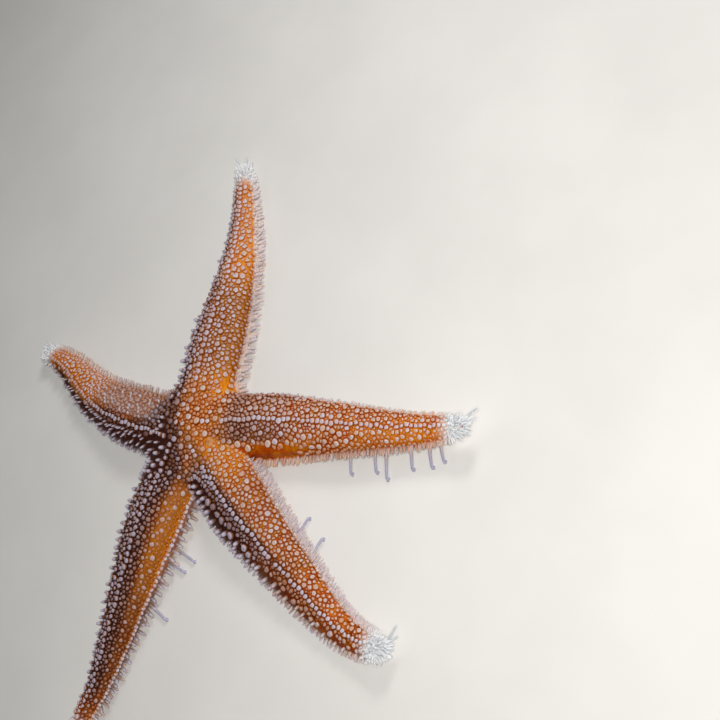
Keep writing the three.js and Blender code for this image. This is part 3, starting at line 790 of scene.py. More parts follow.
# ------------------------------------------------------- knobs of the back
pid = np.flatnonzero(G_C < 3)
P0, N0, R0, C0 = G_P[pid], G_N[pid], G_R[pid], G_C[pid]
O0, T0, Z0, A0 = g_own[pid], g_t[pid], g_z[pid], g_a[pid]
marks0 = markings(P0, N0, O0, T0, Z0, A0)
flank = S(0.72, 0.15, N0[:, 2])
wst0 = thin_west(P0, N0, O0)
west0 = wst0
away = N0 + 0.0
tilt = rng.normal(0, 0.07, (len(P0), 3))
D0 = N0 + tilt + arm_tangent(O0, T0) * (0.10 * flank + 0.06)[:, None] + wst0[:, None] * [-0.38, -0.14, 0]
D0 /= np.linalg.norm(D0, axis=1, keepdims=True)
E0, F0 = frame_of(D0)
AROUND = {0: 18, 1: 14, 2: 10}
M0 = 36
th = np.linspace(0, 2 * np.pi, M0, endpoint=False)
out = np.zeros((len(P0), M0))
kt = KDTree(len(G_P))
for i, p in enumerate(G_P):
    kt.insert(p, i)
kt.balance()
GAP = 0.32
for a in range(len(P0)):
    i = pid[a]
    r, w_ = R0[a], wst0[a]
    f2, f3 = rng.uniform(0, 2 * np.pi, 2)
    uneven = 1 + rng.uniform(0.05, 0.22) * np.cos(2 * (th - f2)) + rng.uniform(0.02, 0.12) * np.cos(3 * (th - f3))
    grown = r * 1.12 if O0[a] == 3 and T0[a] > 0.12 else r * 1.28 if G_C[i] == 0 else min(r * 1.55, r + 0.27)
    lim = uneven * np.full(M0, grown * (1 - w_) + r * 1.02 * w_)
    for co, j, d in kt.find_range(P0[a], r + 1.9):
        if j == i or d < 1e-6:
            continue
        v = G_P[j] - P0[a]
        x, y = v @ E0[a], v @ F0[a]
        dd = math.hypot(x, y)
        if dd < 1e-3:
            continue
        edge = dd / 2 + (r * r - G_R[j] ** 2) / (2 * dd) - GAP / 2
        c = np.cos(th - math.atan2(y, x))
        with np.errstate(divide="ignore"):
            lim = np.where(c > 0.2, np.minimum(lim, np.maximum(edge, 0.35 * r) / np.maximum(c, 0.2)), lim)
    out[a] = lim
for _ in range(2):
    out = (np.roll(out, 1, 1) + 2 * out + np.roll(out, -1, 1)) / 4
# how white each is: the large ones most
size01 = S(0.36, 0.86, R0 / PEG / (0.62 + 0.38 * np.array([rel(arms[o], t) for o, t in zip(O0, T0)])))
u0 = rng.random(len(P0))
# whiter pegs on arms a and b; on the outer arm e the extra white is painted light, brightening the end far from the
# lamps
more = np.where(np.isin(O0, (0, 1)) | (O0 == 4) & (T0 > 0.52), 0.28, 0.0)
white0 = np.where(C0 == 1, np.where(u0 < 0.30 + more + 0.55 * size01, rng.uniform(0.50, 0.98, len(P0)), rng.uniform(0.0, 0.30, len(P0))),
                  rng.uniform(0.0, 0.40, len(P0)) + 0.9 * more)
white0 = np.clip(white0 + 0.15 * flank, 0, 1)
crest0 = crest[pid]
strong = np.isin(O0, (1, 2, 4))
white0 = np.where(C0 == 0, np.clip(rng.normal(0.84, 0.16, len(P0)) - 0.14 * (O0 == 2), 0.35, 1), white0)
white0 = np.clip(white0 + 0.35 * west0, 0, 1)
white0 = np.where(crest0 & strong, 1.0, white0)
inner_e = (O0 == 4) & (T0 < 0.58) & ~crest0
white0 = np.where(inner_e, white0 * 0.45, white0)
white0 = np.where((O0 == 3) & (C0 == 0), np.maximum(white0, 0.82), np.where((O0 == 3) & (C0 > 0) & (u0 > 0.22) & (T0 > 0.14) & (wst0 < 0.4), np.where(C0 == 1, 0.15 + 0.55 * u0 * S(1.1, 0.5, A0), white0 * 0.32), white0))
left_a = (O0 == 0) & (A0 > 0.62) & (C0 < 2) & (T0 > 0.12)
white0 = np.where(left_a, np.maximum(white0, 0.88), white0)
white0 = np.where((O0 == 1) & (C0 > 0) & (T0 > 0.14) & (T0 < 0.42) & ~crest[pid], 0.72 * white0, white0)
white0 = np.where((O0 == 0) & (C0 == 0) & (np.abs(A0 - 0.80) < 0.14), 1.0, white0)
white0 = np.where((O0 == 2) & (C0 == 1) & (u0 > 0.35), np.maximum(white0, 0.62), white0)
crest_a = np.where(O0 == 2, crest_at("c", T0), np.where(O0 == 4, crest_at("e", T0), 0.0))
off = (A0 - crest_a) * np.where(O0 == 2, -1, 1)          # positive on the shaded side of the crest
beside = (off > -0.25) & (off < 0.50) & np.isin(O0, (2, 4)) & (T0 > np.where(O0 == 2, 0.24, 0.10)) & ~crest0
white0 = np.where(beside, white0 * np.where(off > 0, np.where(O0 == 2, 0.50, 0.25), 0.60), white0)
mid = S(19, 12, np.hypot(P0[:, 0] - CX, P0[:, 1] - CY)) * (P0[:, 0] > CX - 7)
white0 = np.where(C0 == 0, white0, white0 * (1 - 0.72 * mid))
white0 *= 1 - (C0 > 0) * (0.45 * (O0 == 1) * S(-0.50, -0.75, A0) + 0.40 * (O0 == 0) * S(-0.85, -1.05, A0) * S(0.90, 0.70, T0)
                       + 0.40 * (O0 == 2) * S(0.60, 0.85, A0) * S(0.50, 0.35, T0) + 0.50 * (O0 == 3) * S(0.35, 0.65, A0))
white0 *= 1 - 0.22 * (C0 == 0) * (O0 == 3) * S(0.0, 0.35, A0)
far_e = (O0 == 4) & (T0 > 0.52)
white0 = np.where(far_e & crest0, 0.60 * white0, np.where(far_e & (C0 < 2), np.maximum(white0, 0.62), white0))
white0 = np.where((O0 == 1) & crest0 & (T0 > 0.42), 0.80 * white0, white0)
slant0 = slant[pid]
white0 = np.where(slant0, rng.uniform(0.85, 1.0, len(P0)), white0)
height0 = np.where(C0 == 0, rng.uniform(0.78, 1.02, len(P0)), np.where(C0 == 1, rng.uniform(0.56, 0.80, len(P0)), rng.uniform(0.36, 0.52, len(P0))))
height0 *= np.where(crest0, 1.25, np.where(slant[pid], 1.55, 1.0))
height0 *= 0.66 + 0.30 * R0 / PEG / np.where(C0 == 0, 0.95, np.where(C0 == 1, 0.62, 0.38))
height0 *= 1 + (0.40 * flank + 0.95 * west0) * (C0 < 2)
slim = 1 - (0.12 * flank + 0.20 * west0) * (C0 < 2)
KNOB = {0: [(-0.30, 1.03), (0.10, 1.03), (0.42, 0.99), (0.68, 0.935), (0.83, 0.85), (0.925, 0.71), (0.975, 0.52), (0.995, 0.28)],
        1: [(-0.30, 1.03), (0.14, 1.03), (0.52, 0.97), (0.78, 0.86), (0.92, 0.68), (0.985, 0.40)],
        2: [(-0.35, 1.03), (0.20, 1.03), (0.62, 0.93), (0.88, 0.70), (0.98, 0.38)]}
uv0 = chart(O0, T0, A0)
coat = []
# on the shaded flanks the pegs are long spines that lean outwards
slant0 = slant[pid]
south_e = (O0 == 4) & (A0 > 0.42) & (T0 < 0.80)
long0 = (C0 < 2) & ((wst0 > 0.5) | south_e | slant0) & ~crest0 & (T0 < 0.93)
_lean = N0 * [1, 1, 0] + np.array([-0.30, -0.12, 0])
_lean = np.where(slant0[:, None], np.array([[0.35, 0.80, 0]]), _lean)
_lean /= np.linalg.norm(_lean, axis=1, keepdims=True)
DL = 0.68 * N0 + 0.52 * _lean + rng.normal(0, 0.09, (len(P0), 3)) + [0, 0, 0.05]
DL /= np.linalg.norm(DL, axis=1, keepdims=True)
_sz = 0.62 + 0.38 * np.array([rel(arms[o], t) for o, t in zip(O0, T0)])
_fine = np.where(slant0, 0.80, np.where(south_e, 0.66, 1.0))
LL = rng.uniform(1.75, 2.35, len(P0)) * np.where(slant0, 0.72, 1.0) * _sz * np.where(C0 == 0, 1.0, 0.88)
RL = np.where(C0 == 0, rng.uniform(0.60, 0.72, len(P0)), rng.uniform(0.50, 0.60, len(P0))) * _sz * _fine
blue = lambda k, n: rng.uniform(*{0: (0.35, 1.0), 1: (0.0, 0.85), 2: (0.0, 0.70), 3: (0.15, 1.0), 4: (0.40, 1.0)}[k], n)
for k, arm in enumerate(arms):
    for c, label in ((0, "large"), (1, "middle"), (2, "small")):
        m = (O0 == k) & (C0 == c) & ~long0
        step = {0: 2, 1: 3, 2: 4}[c]
        o = out[m][:, ::step] if M0 // step == AROUND[c] else out[m][:, np.round(np.linspace(0, M0, AROUND[c], endpoint=False)).astype(int)]
        # lilac tops on the crest and, as painted shade, on the pegs of the flanks turned away from the lamps
        coat.append(pegs(f"knobs_{arm.name}_{label}", P0[m] - N0[m] * 0.08, D0[m], R0[m], height0[m], KNOB[c], o.shape[1],
                         dict(of_white=white0[m], of_rand=np.where((crest0[m] & ~far_e[m]) | left_a[m] | (west0[m] > 0.3), rng.uniform(0.8, 1.0, m.sum()), blue(k, m.sum())), **{n: v[m] for n, v in zip(ATTR, marks0)}),
                         uv0[m], squash=np.ones(m.sum()), outline=o * slim[m][:, None], frames=(E0[m], F0[m])))


# ------------------------------------------------- spines of the edges, in rows
def unit(v):
    return v / np.maximum(np.linalg.norm(v, axis=-1, keepdims=True), 1e-9)


def outward(own, T, side):
    """Level direction square to the arm, to its left (side 1) or right (-1)."""
    tg = arm_tangent(own, T)
    return np.stack([-tg[:, 1] * side, tg[:, 0] * side, np.zeros(len(T))], 1)


GRAIN = [(-0.20, 0.80), (0.0, 0.92), (0.25, 1.0), (0.50, 0.99), (0.72, 0.88), (0.88, 0.66), (0.965, 0.38)]
m = long0
coat.append(pegs("flank_spines", P0[m] - N0[m] * 0.08, DL[m], RL[m], LL[m], GRAIN, 10,
                 dict(of_white=np.clip(white0[m] * 0.3 + 0.75, 0, 1), of_rand=rng.random(m.sum()), **{n: v[m] for n, v in zip(ATTR, marks0)}), uv0[m], early=0.6))
SPINE = [(-0.16, 0.98), (0.0, 1.0), (0.30, 0.97), (0.58, 0.88), (0.80, 0.74), (0.93, 0.52), (0.985, 0.28)]
bags = {}


def spine_row(label, k, side, alpha, t0, t1, gap, length, thick, rise, white, lean=0.0, jitter=0.10, thin=1.0, scatter=0.03):
    """One row of edge spines. rise: angle above level in degrees; lean: turned towards the tip."""
    arm = arms[k]
    t = steps_along(arm, t0, t1, lambda t: gap * (0.60 + 0.40 * rel(arm, t)) * rng.uniform(0.92, 1.08))
    if thin < 1:
        t = t[rng.random(len(t)) < thin]
    a = side * (alpha + rng.normal(0, scatter, len(t)))
    ok, Q, N, T, A = keep_own(on_arm(k, t, a), k, 1.6)
    Q, N, T, A = Q[ok], N[ok], T[ok], A[ok]
    n = len(Q)
    if not n:
        return
    o = np.full(n, k)
    out_ = outward(o, T, side)
    e = np.radians(rise + rng.normal(0, 5, n))
    D = out_ * np.cos(e)[:, None] + np.array([0, 0, 1.0]) * np.sin(e)[:, None]
    D = unit(0.70 * D + 0.30 * N + arm_tangent(o, T) * lean + rng.normal(0, jitter, (n, 3)))
    s = (0.70 + 0.30 * np.array([rel(arm, x) for x in T]))
    L = length * s * rng.uniform(0.88, 1.12, n)
    low = Q[:, 2] + D[:, 2] * L
    D[:, 2] = np.where(low < 0.42, (0.42 - Q[:, 2]) / L, D[:, 2])
    D = unit(D)
    r = thick * s * rng.uniform(0.9, 1.1, n)
    mk = markings(Q, N, o, T, coords_for(k, Q)[1], A)
    bags.setdefault(label, []).append((Q - N * 0.05, D, r, L, np.clip(white + rng.normal(0, 0.1, n), 0, 1), o, T, A, mk))


def spill(label, name, profile, around, wob=0.05, lo_sq=0.82):
    parts = bags[label]
    cat = [np.concatenate([p[i] for p in parts]) for i in range(8)]
    mk = [np.concatenate([p[8][i] for p in parts]) for i in range(len(ATTR))]
    n = len(cat[0])
    coat.append(pegs(name, cat[0], cat[1], cat[2], cat[3], profile, around,
                     dict(of_white=cat[4], of_rand=np.where(np.isin(cat[5], (0, 2, 3)), rng.uniform(0.55, 1.0, n), rng.random(n)), **dict(zip(ATTR, mk))),
                     chart(cat[5], cat[6], cat[7]), squash=rng.uniform(lo_sq, 1.0, n), wob=wob))
    return n


T_END = 0.955
for k, arm in enumerate(arms):
    for side in (-1, 1):
        gap, lg, th_k = {("d", 1): (2.35, 3.3, 0.60), ("c", 1): (0.95, 2.95, 0.27), ("a", -1): (1.78, 3.0, 0.64),
                         ("b", -1): (1.50, 2.4, 0.47)}.get((arm.name, side), (1.55, 2.4, 0.38))
        fair = {("b", -1): 0.58, ("d", 1): 1.0}.get((arm.name, side), 0.86)
        # two rows at the edge, a third that points down, and on some edges a short upper one
        edge = f"edge_{arm.name}"
        spine_row(edge, k, side, 1.74, 0.10, T_END, gap, lg, th_k, 12, fair, lean=0.10)
        spine_row(edge, k, side, 1.86, 0.10, T_END, gap * (1.5 if (arm.name, side) in (("a", -1), ("d", 1)) else 1), lg * 1.05, th_k, -4, 0.82, lean=0.12)
        spine_row(edge, k, side, 1.97, 0.12, T_END, 1.60, 1.7, 0.34, -26, 0.62, lean=0.12)
        if (arm.name, side) == ("c", 1):
            spine_row(edge, k, side, 1.64, 0.14, T_END, 0.95, 2.6, 0.27, 24, 0.92, lean=0.10)
            spine_row(edge, k, side, 1.52, 0.14, T_END, 0.95, 1.9, 0.27, 40, 0.92, lean=0.10)
        if (arm.name, side) == ("d", 1):
            spine_row(edge, k, side, 1.56, 0.12, T_END, 1.55, 1.05, 0.78, 30, 0.92)
        if (arm.name, side) == ("a", -1):
            spine_row(edge, k, side, 1.63, 0.44, T_END, 1.55, 1.5, 0.42, 8, 0.95, lean=0.05)
        # two rows beside the groove, and two of thicker ones across the sole
        spine_row("groove", k, side, 2.352, 0.08, T_END, 1.00, 1.40, 0.24, -97, 0.40, lean=0.05)
        spine_row("groove", k, side, 2.305, 0.09, T_END, 1.15, 1.30, 0.27, -80, 0.45, lean=0.05)
        spine_row("sole", k, side, 2.15, 0.12, 0.90, 1.75, 1.45, 0.36, -64, 0.55, lean=0.08)
        spine_row("sole", k, side, 2.05, 0.14, 0.80, 1.95, 1.55, 0.38, -52, 0.60, lean=0.10)
for arm in arms:
    spill(f"edge_{arm.name}", f"edge_spines_{arm.name}", SPINE, 9)
spill("groove", "groove_spines", SPINE[:-1], 7)
spill("sole", "sole_spines", SPINE[:-1], 7)

# spines round the mouth, over its rim and pointing in
n = 60
az = np.linspace(0, 2 * np.pi, n, endpoint=False) + rng.normal(0, 0.03, n)
ring = np.where(np.arange(n) % 2 == 0, MOUTH_R + 0.5, MOUTH_R + 1.6)
P = np.stack([CX + ring * np.cos(az), CY + ring * np.sin(az), np.full(n, 1.0)], 1)
D = unit(np.stack([-np.cos(az), -np.sin(az), np.full(n, -0.16)], 1) + rng.normal(0, 0.08, (n, 3)))
o, T, _, Z, A = arm_coords(P)
mk = markings(P, D, o, T, Z, A)
coat.append(pegs("mouth_spines", P, D, np.full(n, 0.30), rng.uniform(1.9, 2.5, n), SPINE, 8,
                 dict(of_white=np.full(n, 0.55), of_rand=rng.random(n), **dict(zip(ATTR, mk))), chart(o, T, A)))

# ------------------------------------------------------------ crowns of the tips
tipv = np.flatnonzero((VT > 0.935) & (VZ > 0.10))
tp, tn, tt, to, ta = SV[tipv], SN[tipv], VT[tipv], own[tipv], VA[tipv]
order = rng.permutation(len(tipv))
kt2 = KDTree(len(tipv))
for i, p in enumerate(tp):
    kt2.insert(p, i)
kt2.balance()
free = np.ones(len(tipv), bool)
pick = []
for i in order:
    if not free[i]:
        continue
    if rng.random() > S(0.925, 0.975, tt[i]) * 1.1:
        free[i] = False
        continue
    pick.append(i)
    for co, j, d in kt2.find_range(tp[i], 0.50):
        free[j] = False
pick = np.array(pick)
P, N, T, O, A = tp[pick], tn[pick], tt[pick], to[pick], ta[pick]
fw = arm_tangent(O, T)
D = unit(0.80 * N + fw * (0.40 + 0.55 * S(0.94, 1.0, T))[:, None] + rng.normal(0, 0.22, (len(P), 3)))
L = rng.uniform(1.6, 2.7, len(P)) * (0.45 + 0.55 * S(0.93, 0.985, T))
D[:, 2] = np.maximum(D[:, 2], (0.5 - P[:, 2]) / L)
D = unit(D)
mk = list(markings(P, N, O, T, np.full(len(P), 0.5), A))
mk[3] = np.clip(S(0.915, 0.955, T), 0, 1)
n_crown = len(P)
coat.append(pegs("tip_spines", P - N * 0.05, D, rng.uniform(0.27, 0.36, len(P)), L, SPINE, 9,
                 dict(of_white=np.full(len(P), 0.95), of_rand=rng.random(len(P)), **dict(zip(ATTR, mk))), chart(O, T, A)))

# --------------------------------------------------------------------- tube feet
paths, rads, fo, ft, fa = [], [], [], [], []
K = 9
FOOT_R = np.array([0.30, 0.29, 0.27, 0.26, 0.25, 0.26, 0.40, 0.42, 0.0])
for k, arm in enumerate(arms):
    for row, share in ((0, 0.055), (1, 0.135)):
        for side in (-1, 1):
            t = steps_along(arm, 0.075 + 0.006 * row, 0.95, lambda t: 1.34 * (0.55 + 0.45 * rel(arm, t)))
            x, y = arm.at(t)
            h = arm.heading(t)
            w, hh, lf = arm.skin_w(t), arm.skin_h(t), arm.lift(t)
            u = side * share * w
            root = np.stack([x - np.sin(h) * u, y + np.cos(h) * u, SOLE + lf + (0.235 if row == 0 else 0.19) * hh], 1)
            sc = 0.55 + 0.45 * w / arm.W
            reach = np.minimum(root[:, 2] - 0.36, rng.uniform(1.6, 2.9, len(t)) * sc)
            end = root + np.stack([rng.normal(0, 0.22, len(t)) - np.sin(h) * side * 0.30, rng.normal(0, 0.22, len(t)) + np.cos(h) * side * 0.30, -reach], 1)
            q = np.linspace(0, 1, K)[None, :, None]
            sway = rng.normal(0, 0.12, (len(t), 1, 3)) * np.array([1, 1, 0])
            pth = root[:, None] * (1 - q) + end[:, None] * q + sway * np.sin(q * np.pi)
            qz = np.array([0, 0.16, 0.36, 0.56, 0.74, 0.86, 0.93, 0.985, 1.0])
            pth[:, :, 2] = root[:, None, 2] * (1 - qz) + end[:, None, 2] * qz
            paths.append(pth)
            rads.append(FOOT_R[None] * (sc * rng.uniform(0.9, 1.1, len(t)))[:, None])
            fo.append(np.full(len(t), k)); ft.append(t); fa.append(np.full(len(t), side * 3.0))
n_feet = sum(map(len, paths))
fo, ft, fa = map(np.concatenate, (fo, ft, fa))
coat.append(tubes("tube_feet", np.concatenate(paths), np.concatenate(rads), 7, dict(of_rand=rng.random(n_feet)), chart(fo, ft, fa)))

# feet stretched out past the edge: arm, place of root, side, share, reach, place of end
FEET = [("b", .615, -1, .55, 11.6, .610), ("b", .700, -1, .55, 10.7, .695), ("b", .738, -1, .50, 12.4, .733),
        ("b", .818, -1, .50, 9.5, .810), ("b", .877, -1, .45, 9.0, .870), ("b", .913, -1, .40, 7.5, .905),
        ("c", .525, 1, .50, 13.4, .512), ("c", .605, 1, .50, 12.6, .594),
        ("d", .350, 1, .55, 17.0, .366), ("d", .396, 1, .55, 14.8, .408), ("d", .537, 1, .50, 14.6, .560)]
ext_p, ext_r, eo, et, ea = [], [], [], [], []
K = 17
q = np.linspace(0, 1, K - 1)
q = np.concatenate([q * 0.985, [1.0]])[:, None]
shape = np.interp(q[:, 0], [0, 0.2, 0.6, 0.86, 0.92, 0.955, 0.985, 1.0], [1.12, 0.98, 0.88, 0.86, 1.10, 1.40, 1.42, 0.0])
for name, t, side, share, reach, t2 in FEET:
    k = "abcde".index(name)
    arm = arms[k]
    W = float(arm.width(t))

    def place(t, u, z, lifted=True):
        x, y = arm.at(t)
        h = arm.heading(t)
        return np.array([x - math.sin(h) * u, y + math.cos(h) * u, z + (arm.lift(t) if lifted else 0)], float)

    a = place(t, side * share * W, 1.2)
    c = place(t2, side * reach, 0.12, False)
    b = place((t + t2) / 2, side * (0.35 * share * W + 0.65 * reach), 0, False)
    b[2] = max(0.9, 0.62 * a[2])
    knee = c + [0, 0, 1.0]
    w_ = np.minimum(q / 0.80, 1)
    pth = a * (1 - w_) ** 2 + 2 * b * w_ * (1 - w_) + knee * w_**2
    pth = np.where(q > 0.80, knee + (c - knee) * (q - 0.80) / 0.20, pth)
    ext_p.append(pth)
    ext_r.append(0.45 * shape)
    eo.append(k), et.append(t), ea.append(side * 2.9)
coat.append(tubes("stretched_feet", np.array(ext_p), np.array(ext_r), 14, dict(of_rand=rng.random(len(FEET))),
                  chart(np.array(eo), np.array(et), np.array(ea))))

# the fine feelers at the arm tips
FEELERS = [("a", 24, 7.0, 1.6), ("a", -20, 5.6, 2.2), ("a", -60, 5.0, 1.0),
           ("b", 38, 7.6, 1.8), ("b", 22, 5.8, 0.4), ("b", -48, 4.8, 0.6),
           ("c", 60, 8.6, 1.6), ("c", 48, 6.8, 0.2), ("c", 16, 4.6, 0.4),
           ("d", 30, 6.4, 1.2), ("d", -6, 5.6, 0.4), ("d", -42, 5.0, 1.6),
           ("e", -26, 5.4, 1.6), ("e", 52, 4.8, 0.6)]
fp, fr, fo2 = [], [], []
q = np.linspace(0, 1, 12)[:, None]
taper = np.interp(q[:, 0], [0, 0.3, 0.85, 0.97, 1], [1.15, 0.85, 0.62, 0.42, 0])
for name, angle, length, rise in FEELERS:
    k = "abcde".index(name)
    arm = arms[k]
    t = 1 - TIP_R * 0.75 / arm.L
    h = float(arm.heading(1.0)) + math.radians(angle)
    x, y = arm.at(t)
    a = np.array([x, y, 1.5 + arm.lift(t)], float)
    d = np.array([math.cos(h), math.sin(h), 0])
    c = a + d * length + [0, 0, rise]
    b = a + d * length * 0.55 + [0, 0, rise * 0.15]
    side = np.array([-d[1], d[0], 0]) * rng.normal(0, 0.35)
    fp.append(a * (1 - q) ** 2 + 2 * b * q * (1 - q) + c * q**2 + side * np.sin(q * np.pi * 1.5) * q)
    fr.append(0.30 * taper)
    fo2.append(k)
fo2 = np.array(fo2)
coat.append(tubes("tip_feelers", np.array(fp), np.array(fr), 10, dict(of_rand=rng.random(len(FEELERS))),
                  chart(fo2, np.full(len(fo2), 0.985), rng.uniform(-1, 1, len(fo2)) + 2.4)))

# ------------------------------------------------------ single pieces of the body
def grid_disc(name, centre, rings, around, height, radius, attrs=None, under=None):
    """A round piece: rings of points from the middle out, and a flat underside."""
    cx, cy = centre
    a = np.linspace(0, 2 * np.pi, around, endpoint=False)
    V = [np.array([[cx, cy, height(0.0, np.array([0.0]))[0]]])]
    for i in range(1, rings + 1):
        s_ = i / rings
        rr_ = radius(s_, a)
        V.append(np.stack([cx + rr_ * np.cos(a), cy + rr_ * np.sin(a), height(s_, a)], 1))
    if under is not None:
        rr_ = radius(1.0, a)
        V.append(np.stack([cx + rr_ * np.cos(a) * 0.98, cy + rr_ * np.sin(a) * 0.98, np.full(around, under)], 1))
    n_r = len(V) - 1
    V = np.concatenate(V)
    j, j1 = np.arange(around), (np.arange(around) + 1) % around
    tri = np.stack([np.zeros(around, int), 1 + j, 1 + j1], 1)
    quad = np.concatenate([np.stack([1 + i * around + j, 1 + (i + 1) * around + j, 1 + (i + 1) * around + j1, 1 + i * around + j1], 1) for i in range(n_r - 1)])
    faces = [tri, quad]
    if under is not None:
        faces.append((1 + (n_r - 1) * around + j)[::-1][None, :])
    uv = 0.5 + 0.45 * np.stack([V[:, 0] - cx, V[:, 1] - cy], 1) / np.abs(V[:, :2] - [cx, cy]).max()
    return make_mesh(name, V, faces, attrs, uv)


# sieve plate: low dome cut by winding grooves that run out from its middle
mz = float(mad_p[2])
_mr = MAD_R + 0.15


def mad_height(s_, a):
    g = np.abs(np.sin(a * 11 + 1.3 * np.sin(a * 3) + 2.2 * s_)) ** 0.8
    return mz + 0.55 * (1 - s_**2.4) + 0.20 * (g - 0.5) * min(1, s_ * 3) * (1 - s_**6) + (0.10 if s_ == 0 else 0) - 0.05


madre = grid_disc("sieve_plate", MAD_XY, 22, 132, mad_height, lambda s_, a: _mr * s_ * (1 + 0.03 * np.sin(a * 2 + 1)), under=mz - 0.7)

# membrane of the mouth: folds that run in to a small puckered opening
mlo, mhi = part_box("mouth")
m_top, m_bot = mhi[2] / MM, mlo[2] / MM


def mouth_height(s_, a):
    fold = 0.16 * np.sin(a * 20 + 0.5 * np.sin(a * 5)) * S(0.10, 0.45, s_) * S(1.0, 0.75, s_)
    pit = 1.25 * S(0.30, 0.06, s_)
    lip = -0.30 * np.exp(-((s_ - 0.32) / 0.08) ** 2)
    return 1.30 + 0.5 * s_**2 + pit + lip + fold


mouth = grid_disc("mouth_skin", (CX, CY), 24, 160, mouth_height, lambda s_, a: (MOUTH_R + 0.35) * s_ + 0 * a, under=3.4)
mouth.data.flip_normals()          # its open side faces down

eyes = []
for k, arm in enumerate(arms):
    l, h = (np.array(v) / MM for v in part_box(f"eyespot_{arm.name}"))
    c, r = (l + h) / 2, (h - l) / 2 + 0.04
    th_, ph = np.linspace(0, np.pi, 19)[1:-1], np.linspace(0, 2 * np.pi, 28, endpoint=False)
    g = 1 + 0.035 * np.cos(ph[None] * 7 + np.arange(17)[:, None] * np.pi) * np.sin(th_)[:, None]
    V = np.stack([np.sin(th_)[:, None] * np.cos(ph)[None] * g, np.sin(th_)[:, None] * np.sin(ph)[None] * g, np.cos(th_)[:, None] * g], 2)
    V = np.concatenate([V.reshape(-1, 3), [[0, 0, 1], [0, 0, -1]]]) * r + c
    j, j1 = np.arange(28), (np.arange(28) + 1) % 28
    quad = np.concatenate([np.stack([i * 28 + j, (i + 1) * 28 + j, (i + 1) * 28 + j1, i * 28 + j1], 1) for i in range(16)])
    tri = np.concatenate([np.stack([np.full(28, 17 * 28), j, j1], 1), np.stack([np.full(28, 17 * 28 + 1), 16 * 28 + j1, 16 * 28 + j], 1)])
    uv = np.stack([0.5 + 0.45 * (V[:, 0] - c[0]) / r[0], 0.5 + 0.45 * (V[:, 1] - c[1]) / r[1]], 1)
    e = make_mesh(f"eye_{arm.name}", V, [quad, tri], None, uv)
    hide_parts(f"eyespot_{arm.name}")
    eyes.append(e)

# ------------------------------------------------------------------- materials
def lin(r, g, b):
    f = lambda v: (v / 255) / 12.92 if v <= 10 else ((v / 255 + 0.055) / 1.055) ** 2.4
    return (f(r), f(g), f(b), 1.0)


class Nodes:
    """Small helper that builds one material's nodes."""

    def __init__(self, name):
        self.m = bpy.data.materials.new(name)
        self.m.use_nodes = True
        self.t = self.m.node_tree
        self.t.nodes.clear()
        self.out = self.t.nodes.new("ShaderNodeOutputMaterial")
        self.bsdf = self.t.nodes.new("ShaderNodeBsdfPrincipled")
        self.t.links.new(self.bsdf.outputs[0], self.out.inputs[0])
        self.co = self.t.nodes.new("ShaderNodeTexCoord").outputs["Object"]

    def link(self, a, b):
        self.t.links.new(a, b)

    def put(self, sock, v):
        if isinstance(v, bpy.types.NodeSocket):
            self.link(v, sock)
        else:
            sock.default_value = v

    def attr(self, name):
        n = self.t.nodes.new("ShaderNodeAttribute")
        n.attribute_name = name
        return n.outputs["Fac"]

    def noise(self, per_mm, detail=3.0, rough=0.55, distortion=0.0):
        n = self.t.nodes.new("ShaderNodeTexNoise")
        n.inputs["Scale"].default_value = 1000.0 * per_mm
        n.inputs["Detail"].default_value = detail
        n.inputs["Roughness"].default_value = rough
        n.inputs["Distortion"].default_value = distortion
        self.link(self.co, n.inputs["Vector"])
        return n.outputs["Fac"]

    def cells(self, per_mm, feature="F1"):
        n = self.t.nodes.new("ShaderNodeTexVoronoi")
        n.feature = feature
        n.inputs["Scale"].default_value = 1000.0 * per_mm
        self.link(self.co, n.inputs["Vector"])
        return n.outputs["Distance"]

    def math(self, op, a, b=0.0, clamp=False):
        n = self.t.nodes.new("ShaderNodeMath")
        n.operation = op
        n.use_clamp = clamp
        self.put(n.inputs[0], a)
        self.put(n.inputs[1], b)
        return n.outputs[0]

    def remap(self, v, a, b, c=0.0, d=1.0):
        n = self.t.nodes.new("ShaderNodeMapRange")
        n.interpolation_type = "SMOOTHSTEP"
        self.put(n.inputs["Value"], v)
        for key, val in (("From Min", a), ("From Max", b), ("To Min", c), ("To Max", d)):
            n.inputs[key].default_value = val
        return n.outputs["Result"]

    def mix(self, f, a, b):
        n = self.t.nodes.new("ShaderNodeMix")
        n.data_type = "RGBA"
        self.put(n.inputs["Factor"], f)
        self.put(n.inputs["A"] if False else n.inputs[6], a)
        self.put(n.inputs[7], b)
        return n.outputs[2]

    def bump(self, height, strength, distance_mm, normal=None):
        n = self.t.nodes.new("ShaderNodeBump")
        n.inputs["Strength"].default_value = strength
        n.inputs["Distance"].default_value = distance_mm * MM
        self.link(height, n.inputs["Height"])
        if normal is not None:
            self.link(normal, n.inputs["Normal"])
        return n.outputs["Normal"]

    def done(self, color, rough, normal, **fixed):
        self.put(self.bsdf.inputs["Base Color"], color)
        self.put(self.bsdf.inputs["Roughness"], rough)
        self.link(normal, self.bsdf.inputs["Normal"])
        for key, val in fixed.items():
            self.bsdf.inputs[key.replace("_", " ")].default_value = val
        return self.m


